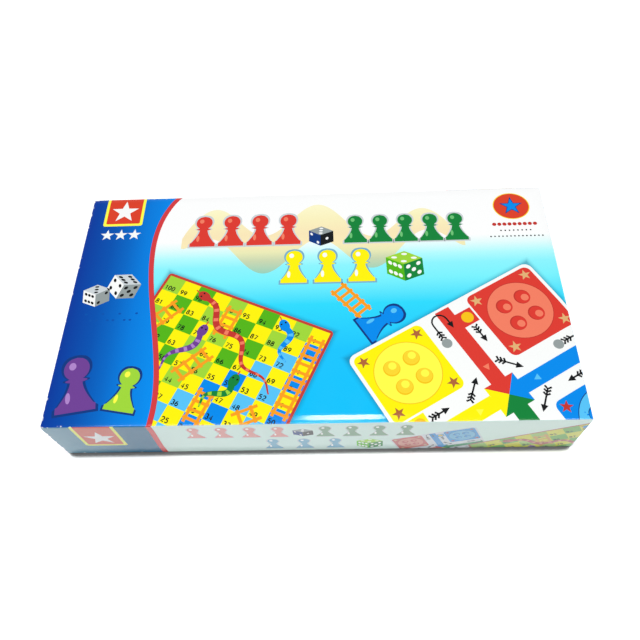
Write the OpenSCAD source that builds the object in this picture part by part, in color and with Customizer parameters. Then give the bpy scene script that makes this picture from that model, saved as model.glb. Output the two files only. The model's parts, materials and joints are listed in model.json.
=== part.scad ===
// Boxed board game set: a paper-wrapped lid over a tray that holds a folding two-sided board,
// a folded card insert, a dice cup, two dice and sixteen pawns in four colours.
// Millimetres. The origin is the centre of the tray's underside, X along the box, Y to the back, Z up.

/* [Playing board] */
// Side of the square board when it lies open
board_side = 386; // [320:1:440]
// Thickness of each leaf's greyboard core
leaf_t = 2; // [1.5:0.1:3]
// Thickness of a printed sheet pasted on a leaf
print_t = 0.2; // [0.15:0.05:0.4]
// Radius of the board's outer corners
leaf_corner_r = 5; // [2:0.5:12]
// Slit between the two leaves at the fold when the board lies open
fold_slit = 0.3; // [0.1:0.1:0.8]
// Width of the hinge tape on each leaf
tape_w = 14; // [8:1:24]
// Thickness of the hinge tape, which is let into the cores
tape_t = 0.2; // [0.1:0.05:0.4]

/* [Tray] */
// Greyboard thickness of the tray's floor and walls
base_t = 1.8; // [1.2:0.1:3]
// Room between the board and the tray's short walls
side_room = 2.6; // [1.6:0.1:8]
// Room between the board and the tray's long walls, where fingers reach in
finger_room = 8.6; // [5:0.1:14]

/* [Lid] */
// Greyboard thickness of the lid's top and walls
lid_t = 1.8; // [1.2:0.1:3]
// Sliding clearance between the lid and the tray on each side
lid_clear = 0.4; // [0.2:0.1:1.5]
// Height of the lid's rim above the table
rim_lift = 2; // [1:0.5:12]
// Free height between the packed board and the lid
headroom = 7.3; // [5:0.1:15]

/* [Paper wrap] */
// Thickness of the wrap
wrap_t = 0.3; // [0.25:0.05:0.5]
// Depth of the wrap's turn-in behind a rim
turn_in = 15; // [8:1:25]
// Leg of a corner stay on each wall
stay_leg = 22; // [12:1:35]
// Thickness of a corner stay, which the wrap is pressed over
stay_t = 0.15; // [0.1:0.01:0.2]

/* [Card insert] */
// Thickness of the card
card_t = 1; // [0.6:0.1:1.5]
// Inside radius of the card's folds
fold_r = 1.2; // [0.5:0.1:3]
// Gap between the insert and the tray's wrapped walls
insert_clear = 0.3; // [0.2:0.1:1]
// Free height between the tallest piece and the board
piece_room = 3; // [1:0.5:10]
// Gap between rows of unlike pieces in the trough
row_gap = 12; // [6:1:18]

/* [Tokens] */
// Diameter of a token's foot
token_d = 16; // [12:0.5:18]
// Height of a token
token_h = 25; // [20:0.5:32]
// Height of the foot's upright edge
token_foot_h = 2.2; // [1.2:0.1:4]
// Step between the foot's edge and the flared body
token_step = 1; // [0.4:0.1:2]
// Diameter of the neck
token_neck_d = 5.4; // [4:0.1:7]
// Diameter of the ball head
token_head_d = 10.4; // [8:0.1:12]
// Diameter of the bead round the neck
token_bead_d = 1.8; // [1:0.1:2.4]
// Mouth of the moulded hollow under the foot
token_hollow_d = 11; // [6:0.5:11.5]
// Depth of the moulded hollow
token_hollow_h = 8; // [3:0.5:10]
// Gap between neighbouring tokens
token_gap = 8; // [4:0.5:10]

/* [Dice] */
// Edge of a die
die_side = 15; // [12:0.5:18]
// How far the rounding ball cuts in at a die's corner
die_corner_cut = 2.6; // [1.5:0.1:3.2]
// Diameter of a pip
pip_d = 2.8; // [2:0.1:3.2]
// Depth of a pip
pip_depth = 0.6; // [0.3:0.05:1]
// Distance from a face's middle to its outer pips, along each edge
pip_step = 3.7; // [3.2:0.1:4.2]

/* [Dice cup] */
// Height of the cup
cup_h = 38; // [30:0.5:45]
// Outside diameter of the cup at its mouth
cup_mouth_d = 36; // [30:0.5:46]
// Outside diameter of the cup at its foot
cup_foot_d = 29; // [24:0.5:40]
// Thickness of the cup's wall and floor
cup_wall = 1.6; // [1:0.1:2.5]
// Diameter of the beads at the rim and round the wall
cup_bead_d = 2.2; // [1.4:0.1:3]
// Recess under the cup's floor
cup_recess = 1; // [0.5:0.1:2]

/* [Hidden] */
$fn = 64;
// Overshoot of a cut past the surface that it opens
cut = 1;

TOKEN_COLOURS = ["red", "yellow", "green", "blue"];
TOKENS_EACH = 4;
function token_name(colour, i) = str(colour, "_token_", i + 1);

// Heights from the table up
floor_z = base_t + card_t;
tallest = max(cup_h, token_h, die_side);
deck_z = floor_z + tallest + piece_room;
leaf_stack = leaf_t + 2 * print_t;
fold_z = deck_z + leaf_stack;
tray_h = fold_z + leaf_stack + headroom;
box_h = tray_h + lid_t + wrap_t;
lower_core_z = deck_z + print_t;
lower_tape_z = lower_core_z + leaf_t - tape_t;
upper_core_z = fold_z + print_t;

// Plan sizes from the board outwards
fold_y = board_side / 4;
tray_in_w = board_side + 2 * side_room;
tray_in_d = board_side / 2 + 2 * finger_room;
tray_w = tray_in_w + 2 * base_t;
tray_d = tray_in_d + 2 * base_t;
lid_gap = 2 * (wrap_t + lid_clear + wrap_t);
lid_in_w = tray_w + lid_gap;
lid_in_d = tray_d + lid_gap;
lid_board_w = lid_in_w + 2 * lid_t;
lid_board_d = lid_in_d + 2 * lid_t;
lid_rim_z = rim_lift + wrap_t;
lid_top_z = box_h - wrap_t;

// Card insert
insert_w = tray_in_w - 2 * (wrap_t + insert_clear);
insert_d = tray_in_d - 2 * (wrap_t + insert_clear);
fold_out_r = fold_r + card_t;
token_pitch = token_d + token_gap;
trough_half = (TOKENS_EACH * token_pitch + token_gap) / 2;

// Rows of pieces in the trough, from the front
token_block = (TOKENS_EACH - 1) * token_pitch + token_d;
cup_span = cup_mouth_d + cup_bead_d;
pieces_front = -(token_block + row_gap + die_side + row_gap + cup_span) / 2;
dice_y = pieces_front + token_block + row_gap + die_side / 2;
cup_y = -pieces_front - cup_span / 2;

// Token profile
head_z = token_h - token_head_d / 2;
neck_z = head_z - sqrt(pow(token_head_d / 2, 2) - pow(token_neck_d / 2, 2));
flare_w = (token_d - token_neck_d) / 2 - token_step;
flare_h = neck_z - token_foot_h;
flare_r = (pow(flare_w, 2) + pow(flare_h, 2)) / (2 * flare_w);

// Dice
die_ball_r = die_side * sqrt(3) / 2 - die_corner_cut;
pip_ball_r = (pow(pip_d / 2, 2) + pow(pip_depth, 2)) / (2 * pip_depth);
DIE_FACES = [
  [1, [0, 0, 0]], [6, [180, 0, 0]],
  [2, [0, 90, 0]], [5, [0, -90, 0]],
  [3, [-90, 0, 0]], [4, [90, 0, 0]]
];

// Block of the given plan size centred on the box's axis, from z0 up to z1
module slab(w, d, z0, z1) {
  translate([-w / 2, -d / 2, z0]) cube([w, d, z1 - z0]);
}

// Upright wall of thickness t that runs round a rectangle of the given outside size
module wall_ring(w, d, t, z0, z1) {
  difference() {
    slab(w, d, z0, z1);
    slab(w - 2 * t, d - 2 * t, z0 - cut, z1 + cut);
  }
}

// Four corner strips bent round the outside of a shell of the given plan size
module corner_stays(w, d, z0, z1) {
  for (sx = [-1, 1]) {
    for (sy = [-1, 1]) {
      intersection() {
        wall_ring(w + 2 * stay_t, d + 2 * stay_t, stay_t, z0, z1);
        translate([sx * w / 2, sy * d / 2, 0]) slab(2 * stay_leg, 2 * stay_leg, z0 - cut, z1 + cut);
      }
    }
  }
}

module lid_corner_strips() {
  corner_stays(lid_board_w, lid_board_d, lid_rim_z, lid_top_z - lid_t);
}

module base_corner_strips() {
  corner_stays(tray_w, tray_d, base_t, tray_h - wrap_t);
}

module lid_board() {
  color("darkgray") difference() {
    slab(lid_board_w, lid_board_d, lid_rim_z, lid_top_z);
    slab(lid_in_w, lid_in_d, lid_rim_z - cut, lid_top_z - lid_t);
  }
}

module lid_stays() {
  color("tan") lid_corner_strips();
}

// One sheet over the top and walls, under the rim and a short way up inside
module lid_wrap() {
  lid_w = lid_board_w + 2 * wrap_t;
  lid_d = lid_board_d + 2 * wrap_t;
  color("deepskyblue") difference() {
    union() {
      difference() {
        slab(lid_w, lid_d, rim_lift, box_h);
        slab(lid_board_w, lid_board_d, rim_lift - cut, lid_top_z);
      }
      wall_ring(lid_w, lid_d, lid_t + 2 * wrap_t, rim_lift, lid_rim_z);
      wall_ring(lid_in_w, lid_in_d, wrap_t, rim_lift, rim_lift + turn_in);
    }
    lid_corner_strips();
  }
}

module base_board() {
  color("darkgray") difference() {
    slab(tray_w, tray_d, 0, tray_h - wrap_t);
    slab(tray_in_w, tray_in_d, base_t, tray_h);
  }
}

module base_stays() {
  color("tan") base_corner_strips();
}

// A band round the tray's walls, over the rim and a short way down inside
module base_wrap() {
  wrapped_w = tray_w + 2 * wrap_t;
  wrapped_d = tray_d + 2 * wrap_t;
  color("whitesmoke") difference() {
    union() {
      wall_ring(wrapped_w, wrapped_d, wrap_t, 0, tray_h);
      wall_ring(wrapped_w, wrapped_d, base_t + 2 * wrap_t, tray_h - wrap_t, tray_h);
      wall_ring(tray_in_w, tray_in_d, wrap_t, tray_h - turn_in, tray_h);
    }
    base_corner_strips();
  }
}

// Quarter bend of the card about (x, z), facing the given way
module card_bend(x, z, turn) {
  translate([x, z]) intersection() {
    difference() {
      circle(fold_out_r);
      circle(fold_r);
    }
    rotate(turn) square(fold_out_r);
  }
}

// Right half of the insert's section, from the trough's wall out to the end leg
module insert_half_section() {
  leg_x = insert_w / 2 - card_t;
  bend_z = deck_z - fold_out_r;
  card_bend(trough_half - fold_r, base_t + fold_out_r, -90);
  translate([trough_half, base_t + fold_out_r]) square([card_t, bend_z - base_t - fold_out_r]);
  card_bend(trough_half + fold_out_r, bend_z, 90);
  translate([trough_half + fold_out_r, deck_z - card_t])
    square([leg_x - fold_r - trough_half - fold_out_r, card_t]);
  card_bend(leg_x - fold_r, bend_z, 0);
  translate([leg_x, base_t]) square([card_t, bend_z - base_t]);
}

// Two raised decks that carry the board, and a trough between them for the pieces
module card_insert() {
  color("white") rotate([90, 0, 0]) linear_extrude(insert_d, center = true) {
    insert_half_section();
    mirror([1, 0]) insert_half_section();
    translate([fold_r - trough_half, base_t]) square([2 * (trough_half - fold_r), card_t]);
  }
}

// Outline of one leaf, with its straight edge at the fold and its two free corners rounded
module leaf_outline() {
  front = fold_y - board_side / 2;
  straight = board_side - 2 * leaf_corner_r;
  translate([-board_side / 2, front + leaf_corner_r])
    square([board_side, board_side / 2 - leaf_corner_r - fold_slit / 2]);
  translate([-straight / 2, front]) square([straight, leaf_corner_r]);
  for (side = [-1, 1]) {
    translate([side * straight / 2, front + leaf_corner_r]) circle(leaf_corner_r);
  }
}

module leaf_layer(z, t) {
  translate([0, 0, z]) linear_extrude(t) leaf_outline();
}

// Hinge tape from the fold's axis over one leaf, with its face at height z
module hinge_strip(z) {
  translate([-board_side / 2, fold_y - tape_w, z]) cube([board_side, tape_w, tape_t]);
}

// Core of a leaf with the shallow rebate that takes the tape
module leaf_core(z, tape_z) {
  difference() {
    leaf_layer(z, leaf_t);
    hinge_strip(tape_z);
  }
}

module lower_leaf_core() {
  color("darkgray") leaf_core(lower_core_z, lower_tape_z);
}

module lower_outer_print() {
  color("ivory") leaf_layer(deck_z, print_t);
}

module lower_inner_print() {
  color("gold") leaf_layer(fold_z - print_t, print_t);
}

module lower_hinge_tape() {
  color("dimgray") hinge_strip(lower_tape_z);
}

module upper_leaf_core() {
  color("darkgray") leaf_core(upper_core_z, upper_core_z);
}

module upper_outer_print() {
  color("ivory") leaf_layer(upper_core_z + leaf_t, print_t);
}

module upper_inner_print() {
  color("gold") leaf_layer(fold_z, print_t);
}

module upper_hinge_tape() {
  color("dimgray") hinge_strip(upper_core_z);
}

// Half profile of a pawn: upright foot, concave flare, bead at the neck and ball head
module token_profile() {
  difference() {
    intersection() {
      union() {
        square([token_d / 2, token_foot_h]);
        difference() {
          square([token_d / 2 - token_step, neck_z + token_bead_d]);
          translate([token_neck_d / 2 + flare_r, neck_z]) circle(flare_r);
        }
        square([token_neck_d / 2, head_z]);
        translate([token_neck_d / 2, neck_z]) circle(d = token_bead_d);
        translate([0, head_z]) circle(d = token_head_d);
      }
      square([token_d, token_h]);
    }
    polygon([[0, -cut], [token_hollow_d / 2, -cut], [token_hollow_d / 2, 0], [0, token_hollow_h]]);
  }
}

// Token in its column, by colour, and its row from the front
module token(column, i) {
  x = (column - (TOKENS_EACH - 1) / 2) * token_pitch;
  y = pieces_front + token_d / 2 + i * token_pitch;
  color(TOKEN_COLOURS[column]) translate([x, y, floor_z]) rotate_extrude() token_profile();
}

// Where the pips of number n lie on a face, in steps from its middle
function pip_spots(n) = concat(
  n % 2 == 1 ? [[0, 0]] : [],
  n > 1 ? [[-1, -1], [1, 1]] : [],
  n > 3 ? [[-1, 1], [1, -1]] : [],
  n == 6 ? [[-1, 0], [1, 0]] : []
);

// Cube rounded by a ball, with a dished pip at every spot
module die(x, turn) {
  color("white") translate([x, dice_y, floor_z + die_side / 2]) rotate(turn) difference() {
    intersection() {
      cube(die_side, center = true);
      sphere(die_ball_r);
    }
    for (face = DIE_FACES) {
      rotate(face[1]) for (spot = pip_spots(face[0])) {
        translate([spot.x * pip_step, spot.y * pip_step, die_side / 2 + pip_ball_r - pip_depth])
          sphere(pip_ball_r);
      }
    }
  }
}

module die_a() {
  die(-token_pitch / 2, [0, 0, 0]);
}

module die_b() {
  die(token_pitch / 2, [0, 90, 90]);
}

// Outside radius of the cup's wall at height z
function cup_r(z) = (cup_foot_d + (cup_mouth_d - cup_foot_d) * z / cup_h) / 2;

// Half profile of the cup: tapered wall with beads, floor and a recess under it
module cup_profile() {
  bead_r = cup_bead_d / 2;
  inside_z = cup_recess + cup_wall;
  difference() {
    union() {
      polygon([[0, 0], [cup_r(0), 0], [cup_r(cup_h - bead_r), cup_h - bead_r], [0, cup_h - bead_r]]);
      for (z = [cup_h - bead_r, cup_h * 2 / 3, cup_h / 3]) {
        translate([cup_r(z) - cup_wall / 2, z]) circle(bead_r);
      }
    }
    polygon([
      [0, inside_z],
      [cup_r(inside_z) - cup_wall, inside_z],
      [cup_r(cup_h + cut) - cup_wall, cup_h + cut],
      [0, cup_h + cut]
    ]);
    square([cup_r(0) - cup_wall, cup_recess]);
  }
}

module dice_cup() {
  color("royalblue") translate([0, cup_y, floor_z]) rotate_extrude() cup_profile();
}

base_board();
base_stays();
base_wrap();
card_insert();
lid_board();
lid_stays();
lid_wrap();
lower_leaf_core();
lower_outer_print();
lower_inner_print();
lower_hinge_tape();
upper_leaf_core();
upper_outer_print();
upper_inner_print();
upper_hinge_tape();
dice_cup();
die_a();
die_b();
for (column = [0:len(TOKEN_COLOURS) - 1]) {
  for (i = [0:TOKENS_EACH - 1]) {
    token(column, i);
  }
}
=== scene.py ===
"""Looks of a boxed two-game set: a printed lid over a tray with a folding board, pawns, dice and a cup."""

import json
import logging
import math
from dataclasses import dataclass, field, replace
from enum import Enum

import bmesh
import bpy
import numpy as np
from mathutils import Euler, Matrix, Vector


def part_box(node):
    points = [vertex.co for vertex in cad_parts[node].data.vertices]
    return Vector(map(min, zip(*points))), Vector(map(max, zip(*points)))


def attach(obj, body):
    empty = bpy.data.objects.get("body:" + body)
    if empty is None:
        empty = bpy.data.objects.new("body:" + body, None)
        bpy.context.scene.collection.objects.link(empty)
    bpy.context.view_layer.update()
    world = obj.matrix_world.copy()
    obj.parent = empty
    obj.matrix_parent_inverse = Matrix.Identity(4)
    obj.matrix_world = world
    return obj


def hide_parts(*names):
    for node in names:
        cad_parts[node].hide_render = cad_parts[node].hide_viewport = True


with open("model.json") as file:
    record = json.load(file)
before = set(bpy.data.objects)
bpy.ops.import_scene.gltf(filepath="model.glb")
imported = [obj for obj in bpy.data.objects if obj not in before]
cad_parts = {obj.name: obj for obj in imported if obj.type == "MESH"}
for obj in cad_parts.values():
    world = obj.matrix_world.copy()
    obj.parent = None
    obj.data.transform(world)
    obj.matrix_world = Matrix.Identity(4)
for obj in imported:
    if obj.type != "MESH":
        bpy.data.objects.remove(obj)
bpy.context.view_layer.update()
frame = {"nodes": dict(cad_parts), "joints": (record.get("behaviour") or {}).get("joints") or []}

LOG = logging.getLogger("boxed_game")
MM = 0.001
# Height of one level of ink, how far ink reaches into the paper, and the room that all levels need
LEVEL_T = 0.013
INK_SINK = 0.01
INK_ROOM = 0.16

Points = np.ndarray
Colour = tuple[float, float, float]
Line = tuple[float, float, float]


def linear(rgb: Colour) -> tuple[float, float, float, float]:
    """Turns an 8-bit sRGB colour into the linear values that shaders take.

    Args:
        rgb: red, green and blue from 0 to 255.

    Returns:
        Linear red, green, blue and an alpha of 1.
    """
    value = np.asarray(rgb, float) / 255.0
    lin = np.where(value <= 0.04045, value / 12.92, ((value + 0.055) / 1.055) ** 2.4)
    return (*lin.tolist(), 1.0)


class Ink(Enum):
    """Inks of the lid and the board, as sRGB colours."""

    WHITE = (250, 252, 251)
    BLACK = (24, 26, 28)
    GREY = (150, 160, 160)
    SILVER = (206, 214, 218)
    RED = (222, 60, 50)
    STRIPE = (214, 62, 66)
    TAB = (222, 66, 42)
    BORDER = (198, 66, 54)
    ROSE = (222, 150, 146)
    SAGE = (128, 164, 138)
    DEEP = (4, 84, 176)
    SUN = (252, 216, 50)
    CORAL = (244, 128, 100)
    CHERRY = (196, 56, 48)
    YELLOW = (255, 244, 8)
    LEMON = (255, 254, 76)
    AMBER = (248, 196, 24)
    ORANGE = (250, 160, 34)
    GREEN = (84, 182, 24)
    LIME = (160, 216, 60)
    LEAF = (20, 132, 60)
    MINT = (110, 196, 120)
    BLUE = (0, 140, 238)
    SKY = (88, 196, 248)
    NAVY = (16, 58, 130)
    PURPLE = (112, 66, 150)
    LILAC = (176, 134, 204)
    BROWN = (176, 104, 60)
    SAND = (226, 178, 120)
    STEEL = (120, 176, 206)
    # Wall ground, greyed and darkened in part as painted shade and painted reflection of the floor
    PALE = (213, 237, 231)


# Inks of a drawn die's top, left and right faces
WHITE_DIE = (Ink.SILVER, Ink.WHITE, Ink.GREY)
DARK_DIE = (Ink.GREY, Ink.NAVY, Ink.BLACK)
GREEN_DIE = (Ink.LIME, Ink.GREEN, Ink.LEAF)
# Grey to which wall inks are pulled as painted shade and painted reflection of the floor, the shade printed
# round a printed picture and how deep it is
PAINTED_VEIL_GREY = (150, 168, 180)
SHADE_INK = (24, 112, 150)
SHADE_DEPTH = 0.6
# What shows where paper is rubbed, and how far the wear reaches from an edge, in millimetres
BARE_PAPER = (246, 248, 250)
BARE_BOARD = (168, 162, 150)
LID_WEAR = 2.2
TRAY_WEAR = 1.6
# Angles in degrees past which a turned piece and the lid's skin keep a sharp edge
TURNED_SHARP = 38.0
SKIN_SHARP = 50.0


class Graph:
    """Adds nodes to one node tree and wires them."""

    def __init__(self, tree: bpy.types.NodeTree) -> None:
        """Keeps the tree to which nodes are added."""
        self.tree = tree

    def add(self, kind: str, inputs: dict | None = None, **settings) -> bpy.types.Node:
        """Adds a node, sets its options and fills or links its inputs.

        Args:
            kind: Blender's name of the node type.
            inputs: input name or index to a value, or to the socket that feeds it.
            settings: options of the node itself.

        Returns:
            The new node.
        """
        node = self.tree.nodes.new(kind)
        for key, value in settings.items():
            setattr(node, key, value)
        for key, value in (inputs or {}).items():
            if isinstance(value, bpy.types.NodeSocket):
                self.tree.links.new(value, node.inputs[key])
            else:
                node.inputs[key].default_value = value
        return node

    def math(self, operation: str, *values) -> bpy.types.NodeSocket:
        """Adds a Math node of that operation on the values and returns its result."""
        return self.add("ShaderNodeMath", dict(enumerate(values)), operation=operation).outputs[0]

    def vector(self, operation: str, *values) -> bpy.types.NodeSocket:
        """Adds a Vector Math node of that operation on the values and returns its vector."""
        return self.add("ShaderNodeVectorMath", dict(enumerate(values)), operation=operation).outputs[0]

    def noise(self, vector: bpy.types.NodeSocket, scale: float, detail: float = 3.0) -> bpy.types.NodeSocket:
        """Adds fractal noise at that scale per metre and returns its value."""
        inputs = {"Vector": vector, "Scale": scale, "Detail": detail}
        return self.add("ShaderNodeTexNoise", inputs).outputs["Fac"]

    def remap(self, value: bpy.types.NodeSocket, low, high, to_low, to_high) -> bpy.types.NodeSocket:
        """Maps a value from one range to another, clamped, and returns it."""
        inputs = {"Value": value, "From Min": low, "From Max": high, "To Min": to_low, "To Max": to_high}
        return self.add("ShaderNodeMapRange", inputs).outputs["Result"]

    def mix(self, factor, first, second) -> bpy.types.NodeSocket:
        """Mixes two colours by a factor and returns the result."""
        inputs = {0: factor, 6: first, 7: second}
        return self.add("ShaderNodeMix", inputs, data_type="RGBA").outputs[2]

    def place(self) -> bpy.types.NodeSocket:
        """Returns the object's own coordinates, in metres."""
        return self.add("ShaderNodeTexCoord").outputs["Object"]

    def along(self, axis: str) -> bpy.types.NodeSocket:
        """Returns the object's own coordinate along one axis, in metres."""
        return self.add("ShaderNodeSeparateXYZ", {0: self.place()}).outputs[axis]

    def seen(self) -> bpy.types.NodeSocket:
        """Returns 1 on rays from the camera, off gloss and through glass, and 0 on the rest."""
        path = self.add("ShaderNodeLightPath").outputs
        direct = self.math("MAXIMUM", path["Is Camera Ray"], path["Is Glossy Ray"])
        return self.math("MAXIMUM", direct, path["Is Transmission Ray"])


class Effects:
    """Shader node groups that several finishes share, each built once."""

    def __init__(self) -> None:
        """Builds every group."""
        self.print_film = self._print_film()
        self.fibre = self._fibre()
        self.edge_scuff = self._edge_scuff()
        self.moulded = self._moulded()

    @staticmethod
    def _new(name: str, inputs: dict[str, str], outputs: dict[str, str]) -> tuple[Graph, dict, dict]:
        """Makes an empty group with named sockets.

        Args:
            name: the group's name.
            inputs: input names to socket kinds.
            outputs: output names to socket kinds.

        Returns:
            A graph of the group, its input sockets and its output node's sockets, by name.
        """
        tree = bpy.data.node_groups.new(name, "ShaderNodeTree")
        for way, sockets in (("INPUT", inputs), ("OUTPUT", outputs)):
            for label, kind in sockets.items():
                tree.interface.new_socket(name=label, in_out=way, socket_type="NodeSocket" + kind)
        graph = Graph(tree)
        source = graph.add("NodeGroupInput")
        sink = graph.add("NodeGroupOutput")
        return graph, source.outputs, sink.inputs

    def _print_film(self) -> bpy.types.NodeTree:
        """Ink under clear film: faint mottle in the ink, hazy patches in the gloss and a slow ripple."""
        graph, given, out = self._new(
            "print_film", {"Ink": "Color", "Mottle": "Float"},
            {"Color": "Color", "Roughness": "Float", "Height": "Float"})
        place = graph.place()
        fine = graph.noise(place, 900.0, 2.0)
        spread = graph.math("MULTIPLY", graph.math("SUBTRACT", fine, 0.5), given["Mottle"])
        value = graph.math("ADD", spread, 1.0)
        tinted = graph.add("ShaderNodeHueSaturation", {"Color": given["Ink"], "Value": value})
        broad = graph.noise(place, 28.0, 4.0)
        links = graph.tree.links
        links.new(tinted.outputs["Color"], out["Color"])
        links.new(graph.remap(broad, 0.3, 0.75, 0.06, 0.13), out["Roughness"])
        links.new(graph.noise(place, 16.0, 1.0), out["Height"])
        return graph.tree

    def _fibre(self) -> bpy.types.NodeTree:
        """Pulp board and paper: cloudy tone, dark and light flecks and a matted surface."""
        graph, given, out = self._new(
            "fibre", {"Pulp": "Color", "Fleck": "Color", "Fleck Amount": "Float"},
            {"Color": "Color", "Roughness": "Float", "Height": "Float"})
        place = graph.place()
        cloud = graph.remap(graph.noise(place, 60.0, 5.0), 0.25, 0.75, 0.93, 1.05)
        body = graph.add("ShaderNodeHueSaturation", {"Color": given["Pulp"], "Value": cloud}).outputs["Color"]
        stretch = graph.add("ShaderNodeMapping", {"Vector": place, "Scale": (1.0, 0.35, 1.0)}).outputs[0]
        speck = graph.remap(graph.noise(stretch, 950.0, 3.0), 0.60, 0.74, 0.0, 1.0)
        amount = graph.math("MULTIPLY", speck, given["Fleck Amount"])
        links = graph.tree.links
        links.new(graph.mix(amount, body, given["Fleck"]), out["Color"])
        links.new(graph.remap(cloud, 0.93, 1.05, 0.92, 0.78), out["Roughness"])
        links.new(graph.noise(stretch, 1700.0, 4.0), out["Height"])
        return graph.tree

    def _edge_scuff(self) -> bpy.types.NodeTree:
        """Mask that is 1 where a box's edges are rubbed bare: broken dashes, thicker towards its corners."""
        graph, given, out = self._new(
            "edge_scuff", {"Half Size": "Vector", "Centre": "Vector", "Reach": "Float"}, {"Mask": "Float"})
        place = graph.place()
        away = graph.vector("ABSOLUTE", graph.vector("SUBTRACT", place, given["Centre"]))
        inside = graph.vector("SUBTRACT", given["Half Size"], away)
        depth = graph.add("ShaderNodeSeparateXYZ", {0: inside})
        near = [graph.remap(depth.outputs[axis], 0.0, given["Reach"], 1.0, 0.0) for axis in "XYZ"]
        ends = [graph.remap(depth.outputs[axis], 0.0, 0.045, 0.13, 0.0) for axis in "XYZ"]
        patchy = graph.noise(place, 190.0, 4.0)
        worn = []
        for a, b, c in ((0, 1, 2), (0, 2, 1), (1, 2, 0)):
            flecks = graph.remap(graph.math("ADD", patchy, ends[c]), 0.60, 0.68, 0.0, 1.0)
            worn.append(graph.math("MULTIPLY", graph.math("MULTIPLY", near[a], near[b]), flecks))
        mask = graph.math("MAXIMUM", worn[0], graph.math("MAXIMUM", worn[1], worn[2]))
        graph.tree.links.new(graph.remap(mask, 0.15, 0.45, 0.0, 1.0), out["Mask"])
        return graph.tree

    def _moulded(self) -> bpy.types.NodeTree:
        """Moulded plastic: faint flow marks in the colour, handling haze and orange peel."""
        graph, given, out = self._new(
            "moulded", {"Resin": "Color"}, {"Color": "Color", "Roughness": "Float", "Height": "Float"})
        place = graph.place()
        flow = graph.remap(graph.noise(place, 140.0, 3.0), 0.3, 0.7, 0.94, 1.04)
        body = graph.add("ShaderNodeHueSaturation", {"Color": given["Resin"], "Value": flow}).outputs["Color"]
        links = graph.tree.links
        links.new(body, out["Color"])
        links.new(graph.remap(graph.noise(place, 260.0, 4.0), 0.3, 0.7, 0.16, 0.30), out["Roughness"])
        links.new(graph.noise(place, 1200.0, 2.0), out["Height"])
        return graph.tree


EFFECTS = Effects()


def new_material(name: str) -> tuple[bpy.types.Material, Graph, bpy.types.Node]:
    """Makes an empty material with a Principled shader.

    Args:
        name: the material's name.

    Returns:
        The material, a graph of its nodes and its Principled shader.
    """
    material = bpy.data.materials.new(name)
    material.use_nodes = True
    graph = Graph(material.node_tree)
    shader = next(n for n in material.node_tree.nodes if n.type == "BSDF_PRINCIPLED")
    return material, graph, shader


def scuffed(graph: Graph, colour, bare: Colour, node: str, reach: float) -> bpy.types.NodeSocket:
    """Mixes a bare colour in where the edges of a node's box are rubbed.

    Args:
        graph: the material's graph.
        colour: the colour or socket under the wear.
        bare: the colour that shows through.
        node: CAD node whose box has the edges.
        reach: how far the wear reaches from an edge, in millimetres.

    Returns:
        The mixed colour.
    """
    low, high = (np.array(corner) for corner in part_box(node))
    scuff = graph.add("ShaderNodeGroup", node_tree=EFFECTS.edge_scuff)
    scuff.inputs["Half Size"].default_value = (high - low) / 2
    scuff.inputs["Centre"].default_value = (high + low) / 2
    scuff.inputs["Reach"].default_value = reach * MM
    return graph.mix(scuff.outputs["Mask"], colour, linear(bare))


def wire_surface(graph: Graph, shader: bpy.types.Node, effect: bpy.types.Node, bump: float) -> None:
    """Links an effect's roughness and height to a shader.

    Args:
        graph: the material's graph.
        shader: its Principled shader.
        effect: the group node with Roughness and Height outputs.
        bump: height of the relief in metres.
    """
    graph.tree.links.new(effect.outputs["Roughness"], shader.inputs["Roughness"])
    inputs = {"Strength": 1.0, "Distance": bump, "Height": effect.outputs["Height"]}
    relief = graph.add("ShaderNodeBump", inputs)
    graph.tree.links.new(relief.outputs["Normal"], shader.inputs["Normal"])


@dataclass(frozen=True)
class Picture:
    """Square picture printed on the lid's top, with a soft shade round it; lengths in millimetres."""

    side: float
    angle: float
    shift: tuple[float, float]
    reach: float = 5.0

    def shade(self, graph: Graph) -> bpy.types.NodeSocket:
        """Shades the ground round the picture: 1 at its edge, less by the square of the way to the reach.

        The distance is the larger of the two coordinates in the picture's own axes, past half its side.

        Args:
            graph: the material's graph.

        Returns:
            The shade, from 0 to 1.
        """
        turn = math.radians(self.angle)
        x = graph.math("SUBTRACT", graph.along("X"), self.shift[0] * MM)
        y = graph.math("SUBTRACT", graph.along("Y"), self.shift[1] * MM)
        across = []
        for a, b in ((math.cos(turn), math.sin(turn)), (-math.sin(turn), math.cos(turn))):
            along = graph.math("ADD", graph.math("MULTIPLY", x, a), graph.math("MULTIPLY", y, b))
            across.append(graph.math("ABSOLUTE", along))
        half = self.side / 2
        left = graph.remap(graph.math("MAXIMUM", *across), half * MM, (half + self.reach) * MM, 1.0, 0.0)
        return graph.math("MULTIPLY", left, left)


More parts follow.
